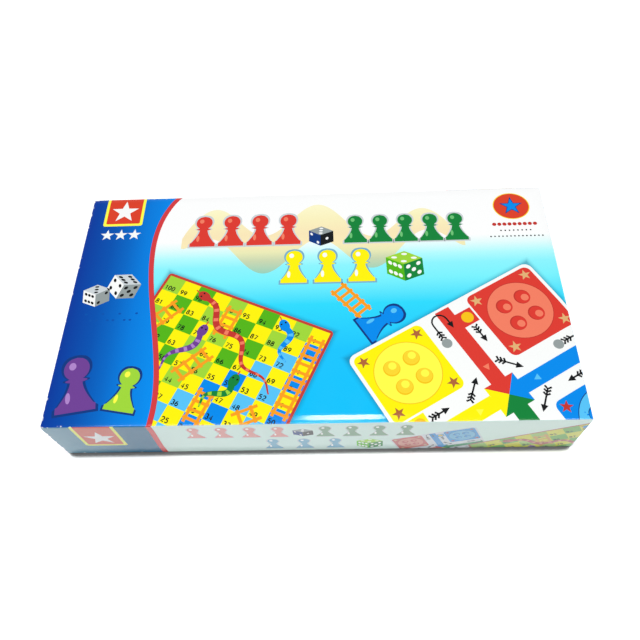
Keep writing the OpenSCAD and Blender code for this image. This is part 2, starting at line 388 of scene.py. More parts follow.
@dataclass(frozen=True)
class PrintFinish:
    """Ink on paper under clear laminate, in one colour or fading along an axis of the box."""

    name: str
    colour: Colour = (255, 255, 255)
    axis: str = ""
    stops: tuple[tuple[float, Colour], ...] = ()
    panel: "PrintFinish | None" = None
    panel_edge: float = 0.0
    pictures: tuple[Picture, ...] = ()
    worn: bool = False
    mottle: float = 0.05
    ior: float = 1.5
    ripple: float = 0.00012

    def thinned(self, amount: float) -> "PrintFinish":
        """Gives the finish with painted shade and painted reflection: its colour moves by that part of the
        way to a pale steel grey.
        """
        if not amount:
            return self
        pairs = zip(self.colour, PAINTED_VEIL_GREY)
        colour = tuple(round((1 - amount) * own + amount * grey) for own, grey in pairs)
        # Materials named _thin_ hold this painted shade and painted reflection
        return replace(self, name=f"{self.name}_thin_{round(100 * amount)}", colour=colour)

    def ink(self, graph: Graph) -> bpy.types.NodeSocket | tuple:
        """Gives the plain ink colour, or the ramp along the finish's axis.

        Args:
            graph: the material's graph.

        Returns:
            A colour, or the socket of a ramp whose stops are in millimetres along the axis.
        """
        if not self.stops:
            return linear(self.colour)
        low, high = self.stops[0][0], self.stops[-1][0]
        part = graph.remap(graph.along(self.axis), low * MM, high * MM, 0.0, 1.0)
        ramp = graph.add("ShaderNodeValToRGB", {0: part})
        elements = ramp.color_ramp.elements
        while len(elements) < len(self.stops):
            elements.new(0.5)
        for element, (where, colour) in zip(elements, self.stops):
            element.position = (where - low) / (high - low)
            element.color = linear(colour)
        return ramp.outputs["Color"]

    def material(self) -> bpy.types.Material:
        """Builds the material, or returns it if it is there already."""
        if self.name in bpy.data.materials:
            return bpy.data.materials[self.name]
        material, graph, shader = new_material(self.name)
        ink = self.ink(graph)
        for picture in self.pictures:
            depth = graph.math("MULTIPLY", picture.shade(graph), SHADE_DEPTH)
            ink = graph.mix(depth, ink, linear(SHADE_INK))
        if self.panel:
            left = graph.math("LESS_THAN", graph.along("X"), self.panel_edge * MM)
            ink = graph.mix(left, ink, self.panel.ink(graph))
        if self.worn:
            ink = scuffed(graph, ink, BARE_PAPER, "lid_wrap", LID_WEAR)
        film = graph.add("ShaderNodeGroup", node_tree=EFFECTS.print_film)
        film.inputs["Mottle"].default_value = self.mottle
        if isinstance(ink, bpy.types.NodeSocket):
            graph.tree.links.new(ink, film.inputs["Ink"])
        else:
            film.inputs["Ink"].default_value = ink
        graph.tree.links.new(film.outputs["Color"], shader.inputs["Base Color"])
        shader.inputs["IOR"].default_value = self.ior
        wire_surface(graph, shader, film, self.ripple)
        return material


@dataclass(frozen=True)
class PulpFinish:
    """Greyboard, card, tape or plain paper, with fibres and flecks."""

    name: str
    colour: Colour
    fleck: Colour
    amount: float
    bump: float = 0.00003
    scuffed_node: str = ""
    sheen: float = 0.25

    def material(self) -> bpy.types.Material:
        """Builds the material."""
        material, graph, shader = new_material(self.name)
        pulp = graph.add("ShaderNodeGroup", node_tree=EFFECTS.fibre)
        pulp.inputs["Pulp"].default_value = linear(self.colour)
        pulp.inputs["Fleck"].default_value = linear(self.fleck)
        pulp.inputs["Fleck Amount"].default_value = self.amount
        colour = pulp.outputs["Color"]
        if self.scuffed_node:
            colour = scuffed(graph, colour, BARE_BOARD, self.scuffed_node, TRAY_WEAR)
        graph.tree.links.new(colour, shader.inputs["Base Color"])
        shader.inputs["Specular IOR Level"].default_value = self.sheen
        wire_surface(graph, shader, pulp, self.bump)
        return material


@dataclass(frozen=True)
class PlasticFinish:
    """Glossy moulded plastic in one colour."""

    name: str
    colour: Colour
    subsurface: float = 0.0
    bleed: tuple[float, float, float] = (0.0012, 0.0010, 0.0008)
    ior: float = 1.5
    peel: float = 0.00001

    def material(self) -> bpy.types.Material:
        """Builds the material."""
        material, graph, shader = new_material(self.name)
        resin = graph.add("ShaderNodeGroup", node_tree=EFFECTS.moulded)
        resin.inputs["Resin"].default_value = linear(self.colour)
        graph.tree.links.new(resin.outputs["Color"], shader.inputs["Base Color"])
        shader.inputs["IOR"].default_value = self.ior
        shader.inputs["Subsurface Weight"].default_value = self.subsurface
        shader.inputs["Subsurface Radius"].default_value = self.bleed
        wire_surface(graph, shader, resin, self.peel)
        return material


def as_finish(ink: "Ink | PrintFinish") -> PrintFinish:
    """Gives the laminated finish of a plain ink, or the finish itself."""
    return PrintFinish("ink_" + ink.name.lower(), ink.value) if isinstance(ink, Ink) else ink


# Pictures and fading grounds of the lid, in millimetres from the middle of the box
SNAKES_PICTURE = Picture(150.0, -23.9, (-81.9, -72.5))
LUDO_PICTURE = Picture(172.6, 30.0, (143.8, -89.5))
GROUND = PrintFinish("lid_ground", worn=True, axis="Y", pictures=(SNAKES_PICTURE, LUDO_PICTURE), stops=(
    (-105.0, (8, 194, 251)), (-50.0, (24, 197, 254)), (-8.0, (46, 219, 253)), (16.0, (122, 243, 254)),
    (30.0, (140, 245, 255)), (40.0, (178, 252, 255)), (50.0, (228, 254, 254)), (58.0, (254, 255, 255))))
PANEL = PrintFinish("lid_panel", worn=True, axis="X", stops=(
    (-200.0, (4, 57, 158)), (-175.0, (0, 83, 178)), (-160.0, (0, 103, 198)), (-145.0, (0, 124, 222)),
    (-118.0, (0, 144, 242))))
FAINT = PrintFinish("pale_ribbon", axis="Y", stops=(
    (17.0, (130, 204, 192)), (25.0, (160, 210, 186)), (36.0, (202, 216, 178)), (45.0, (236, 236, 184)),
    (54.0, (253, 236, 186)), (64.0, (250, 232, 186)), (80.0, (251, 243, 192)), (95.0, (254, 250, 206))))
# The blue panel as the long walls show it, paler towards the left corner: painted shade and painted
# reflection of the floor
WALL_PANEL = PrintFinish("wall_panel", worn=True, axis="X", stops=(
    (-200.0, (107, 154, 175)), (-140.0, (8, 102, 139))))
WALL_BLUE = PrintFinish("wall_blue", axis="Y", stops=((-100.0, (14, 188, 254)), (100.0, (120, 236, 254))))
TOP_EDGES = PrintFinish("lid_edges", worn=True, axis="Y", stops=GROUND.stops, panel=PANEL, panel_edge=-120.0)
WALL_PAPER = PrintFinish("wall_paper", Ink.PALE.value, worn=True, panel=WALL_PANEL, panel_edge=-120.0)


@dataclass(frozen=True)
class Roll:
    """Rounded edge of a sheet, by the distance along the paper: a slow bend, then a tight fold.

    The turn grows by distance / ease_r over the bend and by distance / fold_r past it.
    """

    ease: float
    ease_r: float
    fold_r: float

    @property
    def eased(self) -> float:
        """Turn at the end of the slow bend, in radians."""
        return self.ease / self.ease_r

    def paper(self, turn: float) -> float:
        """Distance along the paper at which it has turned that far past the slow bend."""
        return self.ease + self.fold_r * (turn - self.eased)

    def bend(self, distance: Points) -> tuple[Points, Points, Points]:
        """Follows the edge.

        Args:
            distance: lengths along the paper from where the edge starts.

        Returns:
            How far out, how far up, and the turn at each, with lengths in millimetres.
        """
        slow = np.clip(distance, 0.0, self.ease) / self.ease_r
        turn = slow + np.clip(distance - self.ease, 0.0, None) / self.fold_r
        out = self.ease_r * np.sin(slow) + self.fold_r * (np.sin(turn) - np.sin(slow))
        up = -self.ease_r * (1 - np.cos(slow)) - self.fold_r * (np.cos(slow) - np.cos(turn))
        return out, up, turn


@dataclass(frozen=True)
class Face:
    """Flat place for a drawing: an origin and two unit directions along it, with edges that roll away."""

    origin: tuple[float, float, float]
    u: tuple[float, float, float]
    v: tuple[float, float, float]
    roll: Roll = Roll(0.0, 1.0, 1.0)
    folds: tuple[Line, ...] = ()

    def place(self, flat: Points) -> Points:
        """Puts the points of a flat print on the face.

        Past each fold line a*x + b*y = c the paper follows the roll, and ink stands square to it.

        Args:
            flat: rows of x and y along the face and height above it, in millimetres.

        Returns:
            Points in the box's frame, in metres: origin + u*x + v*y + normal*height.
        """
        x, y, h = flat.T
        side = np.stack([x, y], axis=1)
        drop = np.zeros(len(h))
        for a, b, c in self.folds:
            past = np.clip(a * x + b * y - c, 0.0, None)
            out, up, turn = self.roll.bend(past)
            side += (out + h * np.sin(turn) - past)[:, None] * np.array([a, b])
            drop = np.minimum(drop, up - h * (1 - np.cos(turn)))
        axes = np.array([self.u, self.v, np.cross(self.u, self.v)])
        return np.array(self.origin) + np.column_stack([side, h + drop]) @ axes * MM


def turned(points: Points, angle: float, shift: tuple[float, float] = (0.0, 0.0)) -> Points:
    """Turns flat points about the origin, then shifts them.

    Args:
        points: points as rows.
        angle: anticlockwise turn in degrees.
        shift: added after the turn.

    Returns:
        The moved points.
    """
    a = math.radians(angle)
    matrix = np.array([[math.cos(a), math.sin(a)], [-math.sin(a), math.cos(a)]])
    return points @ matrix + np.array(shift)


def rectangle(w: float, h: float, centre: tuple[float, float] = (0.0, 0.0), radius: float = 0.0) -> Points:
    """Outline of a rectangle, anticlockwise, with quarter arcs of the radius at its corners.

    Args:
        w: width.
        h: height.
        centre: its middle.
        radius: corner radius, or 0 for square corners.

    Returns:
        Points of the outline.
    """
    steps = 7 if radius > 0 else 1
    sweep = np.linspace(0.0, math.pi / 2, steps)
    angle = (np.arange(4)[:, None] * math.pi / 2 + sweep).ravel()
    corner = np.repeat(np.array([[1, 1], [-1, 1], [-1, -1], [1, -1]]), steps, axis=0)
    middle = corner * np.array([w / 2 - radius, h / 2 - radius])
    return middle + radius * np.stack([np.cos(angle), np.sin(angle)], axis=1) + np.array(centre)


def ellipse(rx: float, ry: float, centre: tuple[float, float] = (0.0, 0.0), steps: int = 28) -> Points:
    """Outline of an ellipse: centre + (rx cos a, ry sin a) as a goes once round, anticlockwise."""
    a = np.linspace(0.0, 2 * math.pi, steps, endpoint=False)
    return np.stack([rx * np.cos(a), ry * np.sin(a)], axis=1) + np.array(centre)


def arc(cx: float, cy: float, rx: float, ry: float, start: float, sweep: float) -> Points:
    """Open elliptical arc from a start angle over a sweep in degrees, with a point for every 24 or so."""
    a = np.radians(np.linspace(start, start + sweep, max(4, int(abs(sweep) / 24) + 1)))
    return np.stack([cx + rx * np.cos(a), cy + ry * np.sin(a)], axis=1)


def bezier(*controls: tuple[float, float], steps: int = 40) -> Points:
    """Cubic curve through the Bernstein blend of four control points.

    Args:
        controls: the four control points.
        steps: number of points along the curve.

    Returns:
        Points of the curve.
    """
    t = np.linspace(0.0, 1.0, steps)[:, None]
    weights = ((1 - t) ** 3, 3 * t * (1 - t) ** 2, 3 * t ** 2 * (1 - t), t ** 3)
    return sum(w * np.array(c) for w, c in zip(weights, controls))


@dataclass
class Patch:
    """One flat area of ink: its finish, its level, its outline and the faces that fill it."""

    finish: PrintFinish
    level: float
    loop: Points
    caps: list[list[int]]


@dataclass
class Drawing:
    """Areas of ink stacked in thin levels on a flat sheet, in millimetres of that sheet."""

    patches: list[Patch] = field(default_factory=list)

    def fill(self, ink: Ink | PrintFinish, level: float, loop: Points) -> None:
        """Adds a filled convex outline.

        Args:
            ink: its ink.
            level: its level, counted from the sheet.
            loop: its outline, anticlockwise.
        """
        self.patches.append(Patch(as_finish(ink), level, loop, [list(range(len(loop)))]))

    def band(self, ink: Ink | PrintFinish, level: float, left: Points, right: Points) -> None:
        """Adds the area between two rails, as a row of four-sided faces.

        Args:
            ink: its ink.
            level: its level.
            left: the rail on the left of the way that it runs.
            right: the rail on the right, with as many points.
        """
        k = len(left)
        i = np.arange(k - 1)
        caps = np.stack([i, i + 1, 2 * k - 2 - i, 2 * k - 1 - i], axis=1).tolist()
        self.patches.append(Patch(as_finish(ink), level, np.concatenate([right, left[::-1]]), caps))

    def stroke(self, ink: Ink | PrintFinish, level: float, path: Points, width: float | Points) -> None:
        """Adds a line of the given width along a path: path plus and minus half the width along its normal.

        Args:
            ink: its ink.
            level: its level.
            path: points that the line follows.
            width: its width, or one for each point.
        """
        path = np.asarray(path, float)
        way = np.gradient(path, axis=0)
        way /= np.linalg.norm(way, axis=1, keepdims=True)
        across = np.stack([-way[:, 1], way[:, 0]], axis=1) * np.broadcast_to(width, len(path))[:, None] / 2
        self.band(ink, level, path + across, path - across)

    def put(self, other: "Drawing", angle: float = 0.0, shift: tuple = (0.0, 0.0), level: float = 0.0,
            thin: float = 0.0) -> None:
        """Copies another drawing in, turned, shifted and raised.

        Args:
            other: the drawing to copy.
            angle: its turn in degrees.
            shift: its shift after the turn.
            level: levels to add to its own.
            thin: how far its inks are pulled to grey as painted shade and painted reflection, from 0 to 1.
        """
        for patch in other.patches:
            loop = turned(patch.loop, angle, shift)
            self.patches.append(Patch(patch.finish.thinned(thin), patch.level + level, loop, patch.caps))

    def build(self, name: str, face: Face, keep: tuple[Line, ...]) -> bpy.types.Object:
        """Makes one mesh of all the areas: each is a thin closed prism that stands on the face.

        The print is made flat, cropped, creased where the face rolls, and then laid on the face.

        Args:
            name: the piece's name.
            face: where it lies.
            keep: lines (a, b, c): only points with a*x + b*y <= c stay, in millimetres.

        Returns:
            The new object.
        """
        verts, faces, slots = [], [], []
        finishes: list[PrintFinish] = []
        start = 0
        for patch in self.patches:
            n = len(patch.loop)
            for height in (-INK_SINK, (patch.level + 1) * LEVEL_T):
                verts.append(np.column_stack([patch.loop, np.full(n, height)]))
            i = np.arange(n)
            j = np.roll(i, -1)
            sides = np.stack([i, j, j + n, i + n], axis=1) + start
            caps = [[start + n + k for k in cap] for cap in patch.caps]
            under = [[start + k for k in reversed(cap)] for cap in patch.caps]
            faces += sides.tolist() + caps + under
            if patch.finish not in finishes:
                finishes.append(patch.finish)
            slots += [finishes.index(patch.finish)] * (n + 2 * len(caps))
            start += 2 * n
        piece = make_piece(name, np.concatenate(verts), faces, [f.material() for f in finishes], slots)
        cut_print(piece.data, keep, face)
        flat = np.empty(3 * len(piece.data.vertices))
        piece.data.vertices.foreach_get("co", flat)
        piece.data.vertices.foreach_set("co", face.place(flat.reshape(-1, 3)).ravel())
        piece.data.update()
        return piece


def make_piece(name: str, verts: Points, faces: list, materials: list,
               slots: list[int] = ()) -> bpy.types.Object:
    """Makes a mesh object at the origin from points and faces.

    Args:
        name: the piece's name.
        verts: points as rows.
        faces: point numbers of each face.
        materials: its material slots.
        slots: slot number of each face, if not all the first.

    Returns:
        The new object, linked to the scene.
    """
    mesh = bpy.data.meshes.new(name)
    mesh.from_pydata(verts.tolist(), [], faces)
    for material in materials:
        mesh.materials.append(material)
    if len(slots):
        mesh.polygons.foreach_set("material_index", slots)
    mesh.update()
    piece = bpy.data.objects.new(name, mesh)
    bpy.context.scene.collection.objects.link(piece)
    return piece


def cut_print(mesh: bpy.types.Mesh, keep: tuple[Line, ...], face: Face) -> None:
    """Crops a flat print at the keep lines, closes the cuts and adds creases where its face rolls.

    Args:
        mesh: the flat print, in millimetres.
        keep: lines past which it is cut off.
        face: the face with its fold lines and roll.
    """
    creases = np.concatenate([np.linspace(0.0, face.roll.ease, 5),
                              np.linspace(face.roll.ease, face.roll.paper(math.pi / 4), 4)])
    lines = [(line, 0.0, True) for line in keep]
    lines += [(line, past, False) for line in face.folds for past in np.unique(creases)]
    print_mesh = bmesh.new()
    print_mesh.from_mesh(mesh)
    for (a, b, c), past, crop in lines:
        geometry = print_mesh.verts[:] + print_mesh.edges[:] + print_mesh.faces[:]
        point = (a * (c + past), b * (c + past), 0.0)
        bmesh.ops.bisect_plane(print_mesh, geom=geometry, dist=1e-6, plane_co=point, plane_no=(a, b, 0.0),
                               clear_outer=crop)
        rims = [edge for edge in print_mesh.edges if edge.is_boundary]
        for closed in bmesh.ops.holes_fill(print_mesh, edges=rims)["faces"]:
            beside = [other for edge in closed.edges for other in edge.link_faces if other is not closed]
            closed.material_index = beside[0].material_index
    print_mesh.to_mesh(mesh)
    print_mesh.free()


def bow(x: float, y: float, radius: float, angles: Points) -> Points:
    """Points of a circle about x and y at the given angles, in radians."""
    return np.stack([x + radius * np.cos(angles), y + radius * np.sin(angles)], axis=1)


def grid_faces(rows: int, columns: int) -> list[list[int]]:
    """Numbers the four-sided faces of a grid that closes on itself along its rows."""
    i, j = np.meshgrid(np.arange(rows - 1), np.arange(columns), indexing="ij")
    k = (j + 1) % columns
    quads = [i * columns + j, i * columns + k, (i + 1) * columns + k, (i + 1) * columns + j]
    return np.stack(quads, axis=2).reshape(-1, 4).tolist()


def lathe(name: str, profile: Points, centre: tuple, material: bpy.types.Material,
          segments: int) -> bpy.types.Object:
    """Turns a profile about a vertical axis: (r cos a, r sin a, z) for each profile point and angle.

    Args:
        name: the piece's name.
        profile: radius and height of each point, in metres, up its outside, with both ends on the axis.
        centre: where the axis meets height 0.
        material: its material.
        segments: points round the axis.

    Returns:
        The new object, closed at both poles.
    """
    a = np.linspace(0.0, 2 * math.pi, segments, endpoint=False)
    ring = profile[1:-1]
    rows = len(ring)
    x, y = (ring[:, :1] * f(a) for f in (np.cos, np.sin))
    z = np.broadcast_to(ring[:, 1:], x.shape)
    poles = np.array([[0.0, 0.0, profile[0, 1]], [0.0, 0.0, profile[-1, 1]]])
    points = np.concatenate([np.stack([x, y, z], axis=2).reshape(-1, 3), poles]) + np.array(centre)
    s = np.arange(segments)
    t = (s + 1) % segments
    last = (rows - 1) * segments
    fans = [np.stack([np.full(segments, rows * segments), t, s], axis=1),
            np.stack([np.full(segments, rows * segments + 1), last + s, last + t], axis=1)]
    faces = grid_faces(rows, segments) + np.concatenate(fans).tolist()
    piece = make_piece(name, points, faces, [material])
    piece.data.shade_smooth()
    piece.data.set_sharp_from_angle(angle=math.radians(TURNED_SHARP))
    return piece


class Motifs:
    """Plain figures of the two games, each drawn about its own middle."""

    PIPS = {1: ((0, 0),), 2: ((-1, -1), (1, 1)), 3: ((-1, -1), (0, 0), (1, 1)),
            4: ((-1, -1), (1, 1), (-1, 1), (1, -1)), 5: ((-1, -1), (1, 1), (-1, 1), (1, -1), (0, 0)),
            6: ((-1, -1), (1, 1), (-1, 1), (1, -1), (-1, 0), (1, 0))}

    @staticmethod
    def digit_strokes(digit: int) -> list[Points]:
        """Pen strokes of a plain digit in a box 0.6 wide and 1 high.

        Args:
            digit: 0 to 9.

        Returns:
            One path for each stroke.
        """
        strokes = {
            0: [arc(0.3, 0.5, 0.25, 0.44, 90, 360)],
            1: [[(0.14, 0.76), (0.34, 0.94), (0.34, 0.06)]],
            2: [np.concatenate([arc(0.3, 0.68, 0.24, 0.26, 170, -200), [(0.06, 0.07), (0.56, 0.07)]])],
            3: [arc(0.28, 0.71, 0.22, 0.23, 150, -240), arc(0.28, 0.29, 0.26, 0.24, 90, -240)],
            4: [[(0.42, 0.06), (0.42, 0.94), (0.06, 0.30), (0.58, 0.30)]],
            5: [[(0.52, 0.93), (0.14, 0.93), (0.12, 0.55)], arc(0.28, 0.34, 0.25, 0.28, 125, -265)],
            6: [arc(0.3, 0.30, 0.24, 0.24, 90, 360), arc(0.60, 0.34, 0.54, 0.60, 112, 70)],
            7: [[(0.06, 0.93), (0.55, 0.93), (0.22, 0.06)]],
            8: [arc(0.3, 0.72, 0.20, 0.21, 90, 360), arc(0.3, 0.28, 0.25, 0.23, 90, 360)],
            9: [arc(0.3, 0.70, 0.24, 0.24, 90, 360), arc(0.0, 0.66, 0.54, 0.60, -68, 70)],
        }
        return [np.asarray(stroke, float) for stroke in strokes[digit]]

    @classmethod
    def number(cls, value: int, height: float, ink: Ink, level: float) -> Drawing:
        """Draws a whole number with its lower left corner at the origin.

        Args:
            value: the number.
            height: height of its digits.
            ink: their ink.
            level: their level.

        Returns:
            The drawing.
        """
        drawing = Drawing()
        for place, digit in enumerate(str(value)):
            for stroke in cls.digit_strokes(int(digit)):
                path = (stroke + np.array([0.76 * place, 0.0])) * height
                drawing.stroke(ink, level, path, 0.2 * height)
        return drawing

    @staticmethod
    def ladder(foot: Points, top: Points, width: float, ink: Ink, level: float, rungs: int) -> Drawing:
        """Draws two rails and evenly spaced rungs between a foot and a top.

        Args:
            foot: middle of the lower end.
            top: middle of the upper end.
            width: distance between the rails.
            ink: its ink.
            level: its level.
            rungs: number of rungs.

        Returns:
            The drawing.
        """
        drawing = Drawing()
        way = (top - foot) / np.linalg.norm(top - foot)
        side = np.array([-way[1], way[0]]) * width / 2
        for sign in (-1, 1):
            drawing.stroke(ink, level, np.stack([foot + sign * side, top + sign * side]), 0.25 * width)
        for t in (np.arange(rungs) + 0.5) / rungs:
            middle = foot + (top - foot) * t
            rung = np.stack([middle - 1.45 * side, middle + 1.45 * side])
            drawing.stroke(ink, level + 0.4, rung, 0.25 * width)
        return drawing

    @staticmethod
    def snake(head: Points, tail: Points, width: float, inks: tuple[Ink, Ink], level: float,
              wave: float) -> Drawing:
        """Draws a plain snake: a wavy band that tapers to its tail, with cross bands, a head and a tongue.

        The path is the straight line from head to tail plus a sine across it, which fades out at both ends.

        Args:
            head: where its neck is.
            tail: where it ends.
            width: its greatest width.
            inks: its body and its bands.
            level: its level, with the bands and the head on the next one.
            wave: length of one wave.

        Returns:
            The drawing.
        """
        drawing = Drawing()
        steps = 84
        t = np.linspace(0.0, 1.0, steps)
        along = tail - head
        length = np.linalg.norm(along)
        across = np.array([-along[1], along[0]]) / length
        waves = max(1.0, round(2 * length / wave) / 2)
        swing = 0.85 * width * np.sin(2 * math.pi * waves * t) * np.sin(math.pi * t) ** 0.4
        path = head + t[:, None] * along + swing[:, None] * across
        taper = np.clip(1.05 - t, 0.05, 1) ** 0.45
        body = width * (0.66 + 0.34 * np.sin(math.pi * np.clip(1.3 * t, 0, 1))) * taper
        drawing.stroke(inks[0], level, path, body)
        gap = max(3, int(0.5 * width / length * steps))
        for first in range(int(1.15 * width / length * steps) + 2, steps - 6, 2 * gap):
            piece = slice(first, first + gap)
            drawing.stroke(inks[1], level + 1, path[piece], 0.74 * body[piece])
        facing = math.degrees(math.atan2(*(path[0] - path[3])[::-1]))
        drawing.fill(inks[0], level + 1, turned(ellipse(0.95 * width, 0.66 * width), facing, tuple(path[0])))
        tongue = np.array([[0.7, 0.0], [1.5, 0.0]]) * width
        drawing.stroke(Ink.RED, level + 0.5, turned(tongue, facing, tuple(path[0])), 0.16 * width)
        for side in (-0.3, 0.3):
            eye = ellipse(0.13 * width, 0.13 * width, (0.32 * width, side * width), 12)
            drawing.fill(Ink.BLACK, level + 2, turned(eye, facing, tuple(path[0])))
        return drawing

    @staticmethod
    def arrow(path: Points, width: float, ink: Ink, level: float, feathers: int = 3) -> Drawing:
        """Draws a line along a path with a three-sided head at its end and feathers at its start.

        Args:
            path: points that the arrow follows.
            width: width of its shaft.
            ink: its ink.
            level: its level.
            feathers: number of feathers.

        Returns:
            The drawing.
        """
        drawing = Drawing()
        way = path[-1] - path[-2]
        drawing.stroke(ink, level, path, width)
        head = np.array([[0.0, -2.0], [4.2, 0.0], [0.0, 2.0]]) * width
        drawing.fill(ink, level, turned(head, math.degrees(math.atan2(way[1], way[0])), tuple(path[-1])))
        start = path[1] - path[0]
        angle = math.degrees(math.atan2(start[1], start[0]))
        vane = np.array([[-1.5, 1.9], [0.0, 0.0], [-1.5, -1.9]]) * width
        for k in range(feathers):
            place = turned(vane + [2.0 * k * width, 0.0], angle, tuple(path[0]))
            drawing.stroke(ink, level + 0.4, place, 1.15 * width)
        return drawing

    @staticmethod
    def star(radius: float, ink: Ink, level: float) -> Drawing:
        """Draws a five-pointed star as five kites that meet at its middle."""
        drawing = Drawing()
        kite = np.array([[0.0, 0.0], [0.235, 0.3236], [0.0, 1.0], [-0.235, 0.3236]]) * radius
        for k in range(5):
            drawing.fill(ink, level, turned(kite, 72.0 * k))
        return drawing

    @staticmethod
    def pawn(height: float, body: Ink, shine: Ink, rim: Ink, level: float) -> Drawing:
        """Draws an upright pawn: rim, body and a shine on its head, standing on the origin.

        The half width at height t is the larger of a flared body, a collar and a round head.

        Args:
            height: its height.
            body: ink of the body.
            shine: ink of the shine.
            rim: ink of the rim.
            level: level of the rim, with the body and the shine above it.

        Returns:
            The drawing.
        """
        drawing = Drawing()
        t = np.linspace(0.0, 1.0, 46)
        flare = 0.30 - 0.20 * np.sin(np.clip((t - 0.12) / 0.46, 0, 1) * math.pi / 2)
        flare = np.where(t < 0.12, 0.33, np.where(t < 0.68, flare, 0.0))
        head = np.sqrt(np.clip(0.215 ** 2 - (t - 0.785) ** 2, 0.0, None))
        collar = np.where(np.abs(t - 0.57) < 0.03, 0.18, 0.0)
        outline = np.maximum(np.maximum(flare, head), collar)
        for grow, ink, up in ((0.045, rim, 0), (0.0, body, 1)):
            half = (outline + grow) * height
            y = ((t - 0.5) * (1 + 2 * grow) + 0.5) * height
            drawing.band(ink, level + up, np.stack([-half, y], axis=1), np.stack([half, y], axis=1))
        drawing.fill(shine, level + 2, ellipse(0.06 * height, 0.07 * height, (-0.07 * height, 0.84 * height)))
        drawing.fill(shine, level + 2, ellipse(0.04 * height, 0.10 * height, (-0.13 * height, 0.26 * height)))
        return drawing

    @classmethod
    def die(cls, edge: float, shades: tuple[Ink, ...], pip: Ink, numbers: tuple[int, ...],
            level: float) -> Drawing:
        """Draws a die seen over one corner: three slanted faces with pips.

        Args:
            edge: length of its edges.
            shades: inks of the top, left and right faces.
            pip: ink of the pips.
            numbers: numbers on the top, left and right faces.
            level: level of the faces, with the pips above.

        Returns:
            The drawing.
        """
        drawing = Drawing()
        right, left, down = np.array([[0.88, 0.34], [-0.80, 0.42], [0.02, -0.92]]) * edge
        sides = ((np.zeros(2), right, left), (down, -down, left), (down, right, -down))
        for shade, number, (corner, a, b) in zip(shades, numbers, sides):
            turn = 1 if a[0] * b[1] - a[1] * b[0] > 0 else -1
            drawing.fill(shade, level, np.stack([corner, corner + a, corner + a + b, corner + b])[::turn])
            round_pip = 0.115 * ellipse(1.0, 1.0, steps=14) @ np.stack([a, b])
            for spot in cls.PIPS[number]:
                middle = corner + a * (0.5 + 0.27 * spot[0]) + b * (0.5 + 0.27 * spot[1])
                drawing.fill(pip, level + 1, (middle + round_pip)[::turn])
        return drawing


@dataclass
class SnakesBoard:
    """Numbered ten by ten board with plain snakes and ladders."""

    side: float
    border: float
    ladders: tuple = ((5, 27), (9, 31), (26, 46), (33, 49), (44, 65), (61, 82), (50, 91), (76, 96))
    snakes: tuple = ((98, 52), (93, 72), (77, 43), (54, 35), (42, 23), (29, 12), (18, 1))
    skins: tuple = ((Ink.CHERRY, Ink.CORAL), (Ink.BLUE, Ink.SKY), (Ink.PURPLE, Ink.LILAC),
                    (Ink.LEAF, Ink.LIME), (Ink.BROWN, Ink.SAND), (Ink.CHERRY, Ink.CORAL),
                    (Ink.NAVY, Ink.STEEL))
    cells: int = 10
    rounding: float = 2.4

    @property
    def cell(self) -> float:
        """Side of one cell."""
        return (self.side - 2 * self.border) / self.cells

    def square(self, number: int) -> Points:
        """Gives a cell's column and row; rows run to and fro from the lower left corner."""
        row, step = divmod(number - 1, self.cells)
        return np.array([step if row % 2 == 0 else self.cells - 1 - step, row])

    def middle(self, number: int) -> Points:
        """Gives the middle of a numbered cell."""
        return (self.square(number) + 0.5 - self.cells / 2) * self.cell

    @staticmethod
    def cell_ink(column: int, row: int) -> Ink:
        """Picks yellow for every other cell, and green above or blue below the diagonal for the rest."""
        if (column + row) % 2 == 0:
            return Ink.YELLOW
        dark = (column // 2 + row) % 2 == 0
        if column > row:
            return Ink.BLUE if dark else Ink.SKY
        return Ink.GREEN if dark else Ink.LIME

    def drawing(self) -> Drawing:
        """Draws the board about its middle, from its border up to the snakes."""
        drawing = Drawing()
        drawing.fill(Ink.BORDER, 0, rectangle(self.side, self.side, radius=self.rounding * self.border))
        for number in range(1, self.cells ** 2 + 1):
            middle = self.middle(number)
            ink = self.cell_ink(*self.square(number))
            drawing.fill(ink, 1, rectangle(self.cell, self.cell, tuple(middle)))
            label = Motifs.number(number, 0.29 * self.cell, Ink.BLACK, 2)
            drawing.put(label, shift=tuple(middle - np.array([0.42, 0.41]) * self.cell))
        for foot, top in self.ladders:
            ends = self.middle(foot), self.middle(top)
            rungs = int(np.linalg.norm(ends[1] - ends[0]) / (0.5 * self.cell))
            drawing.put(Motifs.ladder(*ends, 0.68 * self.cell, Ink.ORANGE, 3, rungs))
        for (head, tail), skin in zip(self.snakes, self.skins):
            ends = self.middle(head), self.middle(tail)
            drawing.put(Motifs.snake(*ends, 0.42 * self.cell, skin, 4, 3.2 * self.cell))
        return drawing


